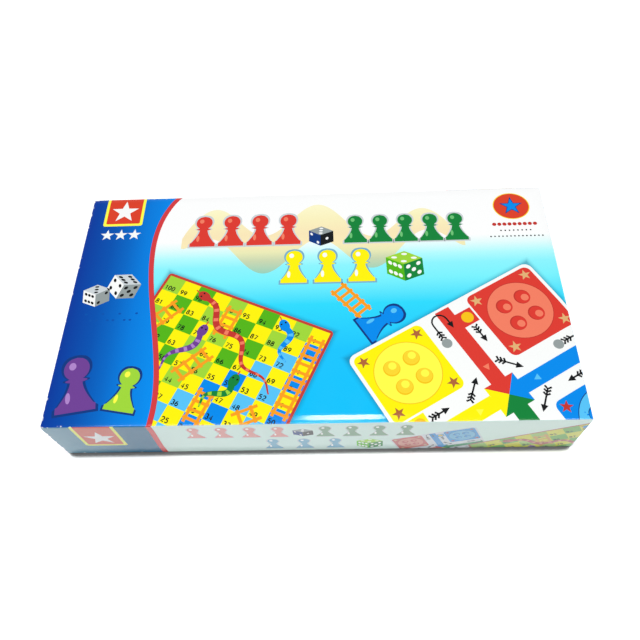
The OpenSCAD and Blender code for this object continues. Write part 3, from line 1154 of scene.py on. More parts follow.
@dataclass
class LudoBoard:
    """Four-colour cross board: corner yards, coloured home lanes and arrows along the white track."""

    side: float
    border: float
    cells: float = 12.4
    start: float = 5.04
    grid_lines: bool = False

    @property
    def cell(self) -> float:
        """Side of one track cell."""
        return (self.side - 2 * self.border) / self.cells

    def quarter(self, ink: Ink, tint: Ink, spot: Ink, shade: Ink, star: Ink) -> Drawing:
        """Draws one colour's yard at the upper left, its lane from the left, its start cell and its home.

        Args:
            ink: the colour.
            tint: a lighter one for the yard's disc and the spots' shine.
            spot: ink of the resting spots.
            shade: a darker one for the spots' rims.
            star: ink of the stars in the yard's corners.

        Returns:
            The drawing, about the board's middle.
        """
        drawing = Drawing()
        c = self.cell
        half = self.cells / 2
        side = (half - 1.65) * c
        yard = np.array([-1.0, 1.0]) * (half + 1.57) / 2 * c
        drawing.fill(ink, 1, rectangle(side, side, tuple(yard), 0.4 * c))
        drawing.fill(shade, 2, ellipse(0.42 * side, 0.42 * side, tuple(yard), 48))
        drawing.fill(tint, 3, ellipse(0.41 * side, 0.41 * side, tuple(yard), 48))
        discs = ((shade, 0.106, 0.0, 4), (spot, 0.096, 0.006, 4.5), (tint, 0.05, 0.025, 5))
        for corner in np.array([[-1, -1], [1, -1], [1, 1], [-1, 1]]):
            place = yard + 0.142 * side * corner
            for disc, radius, rise, up in discs:
                drawing.fill(disc, up, ellipse(radius * side, radius * side, tuple(place + rise * side)))
            drawing.put(Motifs.star(0.085 * side, star, 2), shift=tuple(yard + 0.39 * side * corner))
        drawing.fill(ink, 1, rectangle((half - 0.9) * c, 0.94 * c, (-(half + 0.9) / 2 * c, 0.0)))
        drawing.fill(ink, 1.2, rectangle(c, 1.08 * c, (-self.start * c, 0.96 * c)))
        drawing.fill(Ink.AMBER, 2, ellipse(0.36 * c, 0.36 * c, (-self.start * c, c)))
        drawing.fill(ink, 1.4, np.array([[-0.95, -0.95], [0.0, 0.0], [-0.95, 0.95]]) * c)
        drawing.fill(tint, 2, np.array([[-2.05, -0.2], [-1.7, 0.0], [-2.05, 0.2]]) * c)
        drawing.fill(Ink.GREY, 1, ellipse(0.3 * c, 0.3 * c, ((1.95 - half) * c, -c)))
        turn_x = 0.6 - half
        hook = arc(turn_x, -0.54, 0.46, 0.46, -90, -180)[1:]
        bent = [[(1.5 - half, -1.0), (turn_x, -1.0)], hook, [(turn_x + 0.3, -0.08)]]
        straight = [(0.78 - self.start, 1.0), (1.45 - self.start, 1.0)]
        for path in (straight, [(-1.95, 0.8), (-1.2, 1.44)], np.concatenate(bent)):
            drawing.put(Motifs.arrow(np.array(path) * c, 0.1 * c, Ink.BLACK, 2))
        return drawing

    def drawing(self) -> Drawing:
        """Draws the board about its middle, one quarter turned into each corner."""
        drawing = Drawing()
        drawing.fill(Ink.WHITE, 0, rectangle(self.side, self.side, radius=0.5 * self.cell))
        sets = ((Ink.YELLOW, Ink.LEMON, Ink.SUN, Ink.AMBER, Ink.BROWN),
                (Ink.RED, Ink.CORAL, Ink.RED, Ink.CHERRY, Ink.SAND),
                (Ink.BLUE, Ink.SKY, Ink.BLUE, Ink.NAVY, Ink.CHERRY),
                (Ink.LEAF, Ink.MINT, Ink.GREEN, Ink.LEAF, Ink.LEMON))
        for k, inks in enumerate(sets):
            drawing.put(self.quarter(*inks), angle=-90.0 * k)
            if self.grid_lines:
                drawing.put(self.lane_lines(), angle=-90.0 * k)
        return drawing

    def lane_lines(self) -> Drawing:
        """Draws thin grey lines between the track cells of the left arm."""
        drawing = Drawing()
        c = self.cell
        half = self.cells / 2
        for column in np.arange(-half, -1.0):
            drawing.stroke(Ink.GREY, 1.4, np.array([[column, -1.5], [column, 1.5]]) * c, 0.05 * c)
        for row in (-1.5, -0.5, 0.5, 1.5):
            drawing.stroke(Ink.GREY, 1.7, np.array([[-half, row], [-1.5, row]]) * c, 0.05 * c)
        return drawing


class WallSide(Enum):
    """Walls of the lid, by the direction along each as it is seen from outside."""

    FRONT = (1.0, 0.0, 0.0)
    BACK = (-1.0, 0.0, 0.0)
    RIGHT = (0.0, 1.0, 0.0)
    LEFT = (0.0, -1.0, 0.0)


@dataclass
class Lid:
    """Printed lid: greyboard shell, corner strips, the wrap's skin and the inks on its top and walls."""

    roll: Roll = Roll(7.0, 45.0, 1.2)
    corner_r: float = 0.5
    rim_r: float = 0.5
    turn_in: float = 15.0
    board_t: float = 1.8
    skin_t: float = 0.06
    strip_leg: float = 22.0
    strip_t: float = 0.02
    stripe_w: float = 4.2
    bleed: float = 2.0

    def __post_init__(self) -> None:
        """Reads the lid's size from the frame, in millimetres, and steps in by the room for ink."""
        low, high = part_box("lid_wrap")
        board_low, board_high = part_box("lid_board")
        self.half_x = high.x / MM - INK_ROOM
        self.half_y = high.y / MM - INK_ROOM
        self.rim_z = low.z / MM
        self.top_z = high.z / MM - INK_ROOM
        self.board_in = (high.x - board_high.x) / MM - INK_ROOM
        self.board_z = board_low.z / MM
        self.edge_out, up, _ = self.roll.bend(np.array(self.roll.paper(math.pi / 2)))
        self.wall_z = self.top_z + up

    def build(self) -> list[bpy.types.Object]:
        """Builds the shell, the strips, the skin and the prints.

        Returns:
            Every new piece.
        """
        skin, shell, strips = self.skin(), self.shell(), self.strips()
        prints = [self.top_print()] + [self.wall_print(side) for side in WallSide]
        for piece in (skin, shell, strips, *prints):
            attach(piece, "lid")
        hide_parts("lid_wrap")
        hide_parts("lid_board")
        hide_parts("lid_stays")
        return [skin, shell, strips, *prints]

    def ring(self, inset: Points, z: Points) -> Points:
        """Carries a section round the lid's rounded rectangle.

        Args:
            inset: how far each section point lies inside the skin.
            z: its height.

        Returns:
            A grid of points, one row for each section point, in metres.
        """
        rows = []
        for d, height in zip(inset, z):
            loop = rectangle(2 * (self.half_x - d), 2 * (self.half_y - d), radius=max(self.corner_r - d, 0.1))
            rows.append(np.column_stack([loop, np.full(len(loop), height)]))
        return np.stack(rows) * MM

    def outside(self, sink: float, foot: float) -> tuple[Points, Points]:
        """Section of the lid's outside, from the foot of its wall over the rolled edge to the flat top.

        Args:
            sink: how far below the skin it lies.
            foot: height at which it starts.

        Returns:
            Insets and heights.
        """
        tight = np.linspace(self.roll.paper(math.pi / 2), self.roll.ease, 8)
        slow = np.linspace(self.roll.ease, 0.0, 6)[1:]
        out, up, turn = self.roll.bend(np.concatenate([tight, slow]))
        inset = self.edge_out - out + sink * np.sin(turn)
        return np.append(sink, inset), np.append(foot, self.top_z + up - sink * np.cos(turn))

    def skin(self) -> bpy.types.Object:
        """Carries the wrap's section round the lid: up inside, under the rim, up the wall and over its edge.

        Returns:
            A thin skin whose flat top is one face.
        """
        quarter = np.linspace(0.0, math.pi / 2, 6)
        inner = 2 * self.board_in + INK_ROOM + self.board_t
        rim_in = inner - self.rim_r * (1 - np.cos(quarter))
        rim_out = self.rim_r * (1 - np.sin(quarter))
        inset, z = self.outside(0.0, self.rim_z + self.rim_r)
        inset = np.concatenate([[inner], rim_in, rim_out[:-1], inset])
        z = np.concatenate([[self.rim_z + self.turn_in], self.rim_z + self.rim_r * (1 - np.sin(quarter)),
                            self.rim_z + self.rim_r * (1 - np.cos(quarter[:-1])), z])
        grid = self.ring(inset, z)
        rows, columns = grid.shape[:2]
        faces = grid_faces(rows, columns) + [list(range((rows - 1) * columns, rows * columns))]
        edge_rows = 10
        walls = (rows - edge_rows) * columns
        slots = [0] * walls + [1] * (len(faces) - walls)
        papers = [WALL_PAPER.material(), TOP_EDGES.material()]
        piece = make_piece("lid_skin", grid.reshape(-1, 3), faces, papers, slots)
        piece.data.shade_smooth()
        piece.data.set_sharp_from_angle(angle=math.radians(SKIN_SHARP))
        paper = piece.modifiers.new("paper", "SOLIDIFY")
        paper.thickness = self.skin_t * MM
        paper.offset = -1.0
        return piece

    def shell(self) -> bpy.types.Object:
        """Carries the greyboard's section round the lid: down inside, under the rim and over the outside.

        Returns:
            A closed shell with a flat face above and one below the top panel.
        """
        inner = self.board_in + self.board_t
        under = self.top_z - self.board_in - self.board_t
        inset, z = self.outside(self.board_in, self.board_z)
        grid = self.ring(np.append([inner, inner], inset), np.append([under, self.board_z], z))
        rows, columns = grid.shape[:2]
        ends = [list(range(columns))[::-1], list(range((rows - 1) * columns, rows * columns))]
        grey = PulpFinish("lid_greyboard", (166, 160, 150), (96, 92, 88), 0.55).material()
        return make_piece("lid_shell", grid.reshape(-1, 3), grid_faces(rows, columns) + ends, [grey])

    def strips(self) -> bpy.types.Object:
        """Bends four paper strips round the shell's upright corners: each is a leg, a quarter arc and a leg.

        Returns:
            The strips as one piece.
        """
        inset = (self.skin_t + self.board_in) / 2
        loop = rectangle(2 * (self.half_x - inset), 2 * (self.half_y - inset), radius=self.corner_r - inset)
        corners = loop.reshape(4, -1, 2)
        ways = np.array([[0, 1], [-1, 0], [0, -1], [1, 0]])
        first = corners[:, :1] - ways[:, None] * self.strip_leg
        last = corners[:, -1:] + np.roll(ways, -1, axis=0)[:, None] * self.strip_leg
        paths = np.concatenate([first, corners, last], axis=1)
        count = paths.shape[1]
        levels = (self.board_z, self.wall_z)
        flat = paths.reshape(-1, 2)
        verts = np.concatenate([np.column_stack([flat, np.full(len(flat), z)]) for z in levels])
        i = (np.arange(4)[:, None] * count + np.arange(count - 1)).ravel()
        faces = np.stack([i, i + 1, i + 1 + 4 * count, i + 4 * count], axis=1).tolist()
        tape = PulpFinish("lid_corner_tape", (196, 164, 122), (150, 116, 80), 0.4).material()
        piece = make_piece("lid_corner_strips", verts * MM, faces, [tape])
        paper = piece.modifiers.new("paper", "SOLIDIFY")
        paper.thickness = self.strip_t * MM
        paper.offset = 0.0
        return piece

    @property
    def stripe(self) -> Points:
        """Middle line of the red stripe on the top, from the back edge to the front edge."""
        y = self.half_y + self.bleed
        return bezier((-120.0, y), (-166.9, 0.464 * y), (-105.7, -0.429 * y), (-119.5, -y))

    def top_print(self) -> bpy.types.Object:
        """Lays the ground, the two board pictures, the blue panel and the motifs on the top."""
        flat_x, flat_y = self.half_x - self.edge_out, self.half_y - self.edge_out
        reach = self.roll.paper(math.pi / 4)
        drawing = Drawing()
        drawing.fill(GROUND, 0, rectangle(2 * (flat_x + reach), 2 * (flat_y + reach), radius=1.0))
        boards = {SNAKES_PICTURE: SnakesBoard(SNAKES_PICTURE.side, 2.3, rounding=1.4),
                  LUDO_PICTURE: LudoBoard(LUDO_PICTURE.side, 2.2)}
        for picture, board in boards.items():
            drawing.put(board.drawing(), picture.angle, picture.shift, level=1)
        self.add_panel(drawing)
        self.add_motif_rows(drawing)
        sides = ((1, 0, flat_x), (-1, 0, flat_x), (0, 1, flat_y), (0, -1, flat_y))
        face = Face((0, 0, self.top_z * MM), (1, 0, 0), (0, 1, 0), self.roll, sides)
        return drawing.build("lid_top_print", face, tuple((a, b, c + reach) for a, b, c in sides))

    def add_panel(self, drawing: Drawing) -> None:
        """Adds the blue panel, its stripe, a star tab, a pair of dice and two pawns.

        Args:
            drawing: the top's drawing.
        """
        line = self.stripe
        edge = np.column_stack([np.full(len(line), -self.half_x - self.bleed), line[:, 1]])
        drawing.band(PANEL, 8, line, edge)
        drawing.stroke(Ink.STRIPE, 9, line, self.stripe_w)
        drawing.put(self.star_tab(35.0), shift=(-169.2, 78.0), level=9)
        for k in range(3):
            drawing.put(Motifs.star(6.2, Ink.WHITE, 9), shift=(-181.0 + 12.0 * k, 68.0))
        drawing.put(Motifs.die(13.0, WHITE_DIE, Ink.BLACK, (3, 6, 2), 9), angle=6.0, shift=(-179.8, 6.0))
        drawing.put(Motifs.die(15.4, WHITE_DIE, Ink.BLACK, (6, 4, 5), 9), angle=-20.0, shift=(-157.5, 15.0))
        for k in range(10):
            spot = ellipse(1.2, 0.9, (-184.0 + 4.6 * k, -13.0 - 6.0 * (k * k % 3)), 12)
            drawing.fill(Ink.DEEP, 9, spot)
        drawing.put(Motifs.pawn(46.0, Ink.PURPLE, Ink.LILAC, Ink.NAVY, 9), angle=9.0, shift=(-176.0, -98.0))
        drawing.put(Motifs.pawn(36.0, Ink.LIME, Ink.LEMON, Ink.NAVY, 9), angle=-10.0, shift=(-144.0, -98.0))

    @staticmethod
    def star_tab(width: float) -> Drawing:
        """Draws a red tab with a yellow border and a star, from its lower middle up past an edge."""
        drawing = Drawing()
        drawing.fill(Ink.LEMON, 0, rectangle(width, 46.0, (0.0, 23.0), 2.0))
        drawing.fill(Ink.TAB, 1, rectangle(width - 5.0, 41.0, (0.0, 23.0), 1.2))
        drawing.put(Motifs.star(12.5, Ink.WHITE, 2), shift=(0.0, 16.0))
        return drawing

    @staticmethod
    def add_motif_rows(drawing: Drawing) -> None:
        """Adds a pale ribbon, rows of coloured pawns, dice, a short ladder and a medal on the pale ground.

        Args:
            drawing: the top's drawing.
        """
        drawing.put(Lid.ribbon())
        rows = ((Ink.RED, Ink.CORAL, Ink.SILVER, np.linspace(-96.0, -22.0, 4), 53.0, 33.0),
                (Ink.LEAF, Ink.MINT, Ink.SILVER, np.linspace(36.0, 122.0, 5), 53.0, 29.4),
                (Ink.YELLOW, Ink.WHITE, Ink.STEEL, np.linspace(-16.0, 40.0, 3), 13.0, 33.0))
        for body, shine, rim, places, foot, height in rows:
            for x in places:
                drawing.put(Motifs.pawn(height, body, shine, rim, 1), shift=(x, foot))
        drawing.put(Motifs.die(12.5, DARK_DIE, Ink.WHITE, (3, 2, 1), 1), shift=(6.0, 62.0))
        drawing.put(Motifs.die(18.0, GREEN_DIE, Ink.WHITE, (4, 6, 5), 1), shift=(75.0, 29.0))
        drawing.put(Motifs.ladder(np.array([42.0, -18.0]), np.array([19.0, 8.0]), 11.0, Ink.ORANGE, 1, 5))
        drawing.put(Motifs.pawn(36.0, Ink.BLUE, Ink.SKY, Ink.NAVY, 2), angle=-58.0, shift=(40.0, -34.0))
        drawing.put(Lid.medal(), shift=(172.0, 88.4), level=1)

    @staticmethod
    def ribbon() -> Drawing:
        """Draws a pale ribbon along the top: a cosine wave, with a width that is less at both ends."""
        start, end, crest, period = -114.0, 128.0, 4.0, 92.0
        middle, swing, half = 60.0, 17.0, 24.0
        part = np.linspace(0.0, 1.0, 97)
        x = start + (end - start) * part
        wave = middle + swing * np.cos(2 * math.pi * (x - crest) / period)
        reach = half * (1.0 - 0.4 * part) * np.sin(math.pi * np.clip(part, 0.002, 0.998)) ** 0.3
        drawing = Drawing()
        drawing.band(FAINT, 0.4, np.stack([x, wave + reach], axis=1), np.stack([x, wave - reach], axis=1))
        return drawing

    @staticmethod
    def medal() -> Drawing:
        """Draws a red disc that holds a blue star, over three rows of beads."""
        drawing = Drawing()
        drawing.fill(Ink.SUN, 0, ellipse(15.8, 14.7, steps=48))
        drawing.fill(Ink.TAB, 1, ellipse(15.0, 13.9, steps=48))
        drawing.put(Motifs.star(10.5, Ink.NAVY, 2))
        drawing.put(Motifs.star(8.4, Ink.BLUE, 3))
        rows = ((Ink.CHERRY, 1.8, 9, 17.2, -19.9),
                (Ink.BLACK, 0.75, 8, 12.4, -26.7),
                (Ink.BLACK, 0.75, 14, 21.6, -32.9))
        for ink, radius, count, reach, y in rows:
            for x in np.linspace(-reach, reach, count):
                drawing.fill(ink, 0, ellipse(radius, radius, (x, y), 12))
        return drawing

    def wall_print(self, side: WallSide) -> bpy.types.Object:
        """Lays the print on one wall: the two long walls repeat the lid's motifs, the short ones have a few.

        Args:
            side: which wall.

        Returns:
            The new piece.
        """
        normal = np.cross(side.value, (0, 0, 1))
        long_wall = abs(normal[1]) > 0.5
        half = (self.half_x if long_wall else self.half_y) - self.corner_r
        away = self.half_y if long_wall else self.half_x
        low, high = self.rim_z + self.rim_r, self.wall_z + self.roll.fold_r * math.pi / 4
        drawing = Drawing()
        if long_wall:
            self.add_long_wall(drawing, half, low, high)
        else:
            ground = PANEL if normal[0] < 0 else WALL_BLUE
            drawing.fill(ground, 0, rectangle(2 * half, high - low, (0.0, (low + high) / 2)))
            self.add_short_wall(drawing, half, low)
        keep = ((1, 0, half), (-1, 0, half), (0, 1, high), (0, -1, -low))
        fold = Roll(0.0, 1.0, self.roll.fold_r)
        face = Face(tuple(normal * away * MM), side.value, (0.0, 0.0, 1.0), fold, ((0, 1, self.wall_z),))
        return drawing.build(f"lid_{side.name.lower()}_print", face, keep)

    @staticmethod
    def add_short_wall(drawing: Drawing, half: float, low: float) -> None:
        """Adds a stripe along the foot of an end wall, and above it four pawns between two dice.

        Args:
            drawing: the wall's drawing.
            half: half its length.
            low: its lower edge.
        """
        drawing.fill(Ink.STRIPE, 1, rectangle(2 * half, 4.0, (0.0, low + 8.0)))
        inks = ((Ink.RED, Ink.CORAL), (Ink.YELLOW, Ink.WHITE), (Ink.LEAF, Ink.MINT), (Ink.PURPLE, Ink.LILAC))
        for k, (body, shine) in enumerate(inks):
            drawing.put(Motifs.pawn(26.0, body, shine, Ink.SILVER, 1), shift=(22.0 * k - 33.0, low + 17.0))
        for numbers, angle, x in (((5, 3, 1), 0.0, -66.0), ((6, 5, 4), -12.0, 66.0)):
            drawing.put(Motifs.die(13.0, WHITE_DIE, Ink.BLACK, numbers, 1), angle, (x, low + 27.0))

    def add_long_wall(self, drawing: Drawing, half: float, low: float, high: float) -> None:
        """Adds a pale ground, a panel with a star tab, two rows of pawns and the two board pictures cropped.

        Args:
            drawing: the wall's drawing.
            half: half its length.
            low: its lower edge.
            high: its upper edge.
        """
        drawing.fill(Ink.PALE, 0, rectangle(2 * half, high - low, (0.0, (low + high) / 2)))
        # The pictures and the star tab on this wall are pulled to grey as painted shade and painted
        # reflection of the floor
        drawing.put(LudoBoard(66.0, 1.0).drawing(), angle=111.0, shift=(100.0, 4.0), level=1, thin=0.4)
        drawing.put(SnakesBoard(120.0, 1.4).drawing(), angle=27.0, shift=(199.0, -17.0), level=4, thin=0.45)
        line = bezier((-120.0, high), (-119.0, 40.0), (-122.0, 20.0), (-120.5, low), steps=16)
        edge = np.column_stack([np.full(len(line), -half), line[:, 1]])
        drawing.band(WALL_PANEL, 8, line, edge)
        drawing.stroke(Ink.STRIPE, 9, line, self.stripe_w)
        drawing.put(self.star_tab(33.0), shift=(-162.5, 19.0), level=9, thin=0.25)
        # Paler, greyer inks than the top's pawn rows: painted shade and painted reflection of the floor
        rows = ((Ink.ROSE, Ink.WHITE, np.linspace(-89.0, -26.0, 4), 32.0),
                (Ink.SAGE, Ink.WHITE, np.linspace(9.0, 69.0, 4), 32.0),
                (Ink.STEEL, Ink.WHITE, np.linspace(-32.0, 16.0, 3), 7.0))
        for body, shine, places, foot in rows:
            for x in places:
                drawing.put(Motifs.pawn(20.0, body, shine, Ink.SILVER, 1), shift=(x, foot))
        drawing.put(Motifs.die(9.0, DARK_DIE, Ink.WHITE, (3, 2, 1), 1), shift=(-8.0, 41.0))
        drawing.put(Motifs.die(12.0, GREEN_DIE, Ink.WHITE, (4, 6, 5), 1), shift=(42.0, 16.0))


@dataclass
class FoldingBoard:
    """Two leaves with a printed sheet on each face and hinge tape in the fold."""

    sheet_t: float = 0.09
    margin: float = 3.0
    corner_r: float = 5.0

    def __post_init__(self) -> None:
        """Reads the leaf's size and the fold's place from the frame, in millimetres."""
        low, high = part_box("lower_leaf_core")
        hinge = next(j for j in frame["joints"] if j["name"] == "board_unfold")
        self.fold_y = hinge["pos_m"][1]
        self.side = (high.x - low.x) / MM
        self.depth = (self.fold_y - low.y) / MM
        self.slit = (self.fold_y - high.y) / MM

    def build(self) -> list[bpy.types.Object]:
        """Builds the four printed sheets and dresses the cores and tapes.

        Returns:
            Every new piece.
        """
        picture = self.side - 2 * self.margin
        snakes = SnakesBoard(picture, 4.0).drawing()
        ludo = LudoBoard(picture, 4.0, 15.0, 6.0, True).drawing()
        sheets = (("lower_inner", "lower_leaf", snakes, 1, -1, "snakes_print"),
                  ("upper_inner", "upper_leaf", snakes, -1, 1, "snakes_print"),
                  ("upper_outer", "upper_leaf", ludo, 1, -1, "ludo_print"),
                  ("lower_outer", "lower_leaf", ludo, -1, 1, "ludo_print"))
        pieces = []
        for name, body, drawing, facing, half, slot in sheets:
            piece = self.sheet(name, drawing, facing, half)
            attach(piece, body)
            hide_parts(name + "_print")
            pieces.append(piece)
        core = PulpFinish("leaf_greyboard", (158, 152, 142), (92, 88, 84), 0.55).material()
        cloth = PulpFinish("hinge_cloth", (38, 40, 46), (70, 72, 78), 0.6, 0.00006).material()
        for leaf in ("lower", "upper"):
            dress(leaf + "_leaf_core", core)
            dress(leaf + "_hinge_tape", cloth)
        return pieces

    def sheet(self, name: str, picture: Drawing, facing: int, half: int) -> bpy.types.Object:
        """Makes one leaf's printed sheet: white paper with its half of a picture on it.

        Args:
            name: the node's name without its ending.
            picture: the whole board's drawing, about the fold's middle.
            facing: 1 where the print looks up in the closed box, -1 where it looks down.
            half: -1 for the picture's lower half, 1 for its upper half.

        Returns:
            The new piece.
        """
        low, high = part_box(name + "_print")
        back = low.z if facing > 0 else high.z
        z = back + facing * self.sheet_t * MM
        face = Face((0.0, self.fold_y, z), (1.0, 0.0, 0.0), (0.0, float(facing), 0.0))
        drawing = Drawing()
        drawing.fill(Ink.WHITE, 0, rectangle(self.side, 2 * self.depth, radius=self.corner_r))
        drawing.put(picture, level=1)
        return drawing.build(name + "_sheet", face, ((0, -half, -self.slit),))


def dress(node: str, material: bpy.types.Material) -> None:
    """Gives a CAD node one material.

    Args:
        node: the node's name.
        material: its new material.
    """
    mesh = frame["nodes"][node].data
    mesh.materials.clear()
    mesh.materials.append(material)


@dataclass
class Tray:
    """Greyboard tray with its paper wrap, corner stays and card insert."""

    def build(self) -> list[bpy.types.Object]:
        """Dresses the tray's nodes.

        Returns:
            No new piece, as the tray's solids have their final shape.
        """
        finishes = {
            "base_board": PulpFinish("box_greyboard", (166, 160, 150), (96, 92, 88), 0.55),
            "base_stays": PulpFinish("corner_tape", (196, 164, 122), (150, 116, 80), 0.4),
            "base_wrap": PulpFinish("tray_paper", (238, 238, 234), (206, 204, 198), 0.3,
                                    scuffed_node="base_wrap"),
            "card_insert": PulpFinish("insert_card", (230, 228, 220), (190, 184, 172), 0.35)}
        for node, finish in finishes.items():
            dress(node, finish.material())
        return []


@dataclass
class PlayingPieces:
    """Pawns in four colours, two dice with inked pips and the dice cup."""

    # Number on each side of a die, and the turn in degrees that brings the top to that side
    SIDES = ((1, (0, 0, 0)), (6, (180, 0, 0)), (2, (0, 90, 0)),
             (5, (0, -90, 0)), (3, (-90, 0, 0)), (4, (90, 0, 0)))

    colours: tuple[tuple[str, Colour], ...] = (
        ("red", (206, 22, 28)), ("yellow", (246, 204, 16)), ("green", (18, 142, 46)), ("blue", (18, 70, 190)))
    each: int = 4
    pip_d: float = 2.8
    pip_depth: float = 0.6
    pip_step: float = 3.7
    ink_t: float = 0.03
    ink_share: float = 0.96

    def build(self) -> list[bpy.types.Object]:
        """Builds the pawns, the pips and the cup.

        Returns:
            Every new piece.
        """
        pieces = []
        for colour, rgb in self.colours:
            plastic = PlasticFinish(colour + "_plastic", rgb, 0.05).material()
            for k in range(1, self.each + 1):
                pieces.append(self.token(f"{colour}_token_{k}", colour, plastic))
        die = PlasticFinish("die_plastic", (244, 243, 238), 0.1).material()
        black = PlasticFinish("pip_ink", (22, 22, 24)).material()
        for node, turn in (("die_a", (0, 0, 0)), ("die_b", (0, 90, 90))):
            dress(node, die)
            pieces.append(self.pips(node, turn, black))
        pieces.append(self.cup())
        return pieces

    @staticmethod
    def token(node: str, colour: str, plastic: bpy.types.Material) -> bpy.types.Object:
        """Turns one pawn: hollow foot, upright edge, concave flare, bead and ball head.

        Args:
            node: the pawn's node.
            colour: its colour's name; not used.
            plastic: its material.

        Returns:
            The new piece.
        """
        low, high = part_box(node)
        r = (high.x - low.x) / 2
        h = high.z - low.z
        neck, head, edge, bead_r = 2.7 * MM, 5.2 * MM, 0.3 * MM, 0.9 * MM
        hollow_r, hollow_h = 5.5 * MM, 8.0 * MM
        neck_z = h - head - math.sqrt(head ** 2 - neck ** 2)
        foot_z, bead_gap, lip = 2.2 * MM, 0.8 * MM, 1.0 * MM
        step = r - lip
        wide, tall = step - neck, neck_z - foot_z
        flare = (wide ** 2 + tall ** 2) / (2 * wide)
        t = np.linspace(foot_z, neck_z - bead_gap, 18)
        side = neck + flare - np.sqrt(flare ** 2 - (t - neck_z) ** 2)
        bead = np.linspace(-1.2, 1.2, 9)
        ball = np.linspace(-math.acos(neck / head) + 0.12, math.pi / 2, 26)
        corner = np.linspace(0.0, math.pi / 2, 5)
        profile = np.concatenate([
            [[0.0, hollow_h], [hollow_r, 0.0]],
            bow(r - edge, edge, edge, corner - math.pi / 2),
            bow(r - edge, foot_z - edge, edge, corner),
            np.stack([side, t], axis=1),
            bow(neck, neck_z, bead_r, bead),
            bow(0.0, h - head, head, ball)])
        profile[-1, 0] = 0.0
        centre = ((low.x + high.x) / 2, (low.y + high.y) / 2, low.z)
        piece = lathe(node + "_pawn", profile, centre, plastic, 56)
        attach(piece, node + "_body")
        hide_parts(node)
        return piece

    def pips(self, node: str, turn: tuple[int, int, int], black: bpy.types.Material) -> bpy.types.Object:
        """Lays ink in every dished pip of a die: a bowl of the pip's ball, a little above its bottom.

        Args:
            node: the die's node.
            turn: the die's own turn in degrees.
            black: the ink's material.

        Returns:
            All pips of the die as one piece.
        """
        low, high = (np.array(corner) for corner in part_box(node))
        half = (high[2] - low[2]) / MM / 2
        ball = ((self.pip_d / 2) ** 2 + self.pip_depth ** 2) / (2 * self.pip_depth)
        rho = np.linspace(0.0, self.ink_share * self.pip_d / 2, 6)[1:]
        n = 20
        a = np.linspace(0.0, 2 * math.pi, n, endpoint=False)
        height = half + ball - self.pip_depth - np.sqrt((ball - self.ink_t) ** 2 - rho ** 2)
        x, y = (rho[:, None] * f(a) for f in (np.cos, np.sin))
        bowl = np.stack([x, y, np.broadcast_to(height[:, None], x.shape)], axis=2).reshape(-1, 3)
        bowl = np.concatenate([bowl, [[0.0, 0.0, half - self.pip_depth + self.ink_t]]])
        fan = np.stack([np.full(n, len(bowl) - 1), np.arange(n), (np.arange(n) + 1) % n], axis=1)
        faces = [face[::-1] for face in grid_faces(len(rho), n)] + fan.tolist()
        verts, all_faces = [], []
        whole = np.array(Euler([math.radians(v) for v in turn]).to_matrix())
        for number, side in self.SIDES:
            spin = whole @ np.array(Euler([math.radians(v) for v in side]).to_matrix())
            for spot in Motifs.PIPS[number]:
                moved = bowl + np.array([*spot, 0.0]) * self.pip_step
                all_faces += [[k + len(verts) * len(bowl) for k in face] for face in faces]
                verts.append(moved @ spin.T)
        piece = make_piece(node + "_pips", np.concatenate(verts) * MM + (low + high) / 2, all_faces, [black])
        piece.data.shade_smooth()
        ink = piece.modifiers.new("ink", "SOLIDIFY")
        ink.thickness = self.ink_t / 2 * MM
        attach(piece, node + "_body")
        return piece

    @staticmethod
    def cup() -> bpy.types.Object:
        """Turns the cup: recessed foot, tapered wall with two beads, beaded rim and a plain inside.

        The outside is the larger of the taper and each bead's circle at every height.

        Returns:
            The new piece.
        """
        low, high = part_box("dice_cup")
        h = (high.z - low.z) / MM
        wall, bead, recess, foot, mouth = 1.6, 1.1, 1.0, 14.5, 18.0

        def taper(z: float | Points) -> float | Points:
            """Gives the plain wall's outside radius at a height."""
            return foot + (mouth - foot) * z / h

        z = np.linspace(0.0, h - bead, 90)
        outside = taper(z)
        for middle in (h / 3, 2 * h / 3, h - bead):
            circle = np.sqrt(np.clip(bead ** 2 - (z - middle) ** 2, 0.0, None))
            outside = np.where(circle > 0, np.maximum(outside, taper(middle) - wall / 2 + circle), outside)
        over = np.linspace(0.0, math.pi - math.acos(wall / 2 / bead), 12)[1:]
        rim = bow(taper(h - bead) - wall / 2, h - bead, bead, over)
        floor = recess + wall
        profile = np.concatenate([
            [[0.0, recess], [foot - wall, recess], [foot - wall, 0.0]], np.stack([outside, z], axis=1), rim,
            [[taper(floor) - wall, floor], [0.0, floor]]]) * MM
        centre = ((low.x + high.x) / 2, (low.y + high.y) / 2, low.z)
        plastic = PlasticFinish("cup_plastic", (24, 58, 178)).material()
        piece = lathe("shaker_cup", profile, centre, plastic, 80)
        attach(piece, "dice_cup_body")
        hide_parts("dice_cup")
        return piece


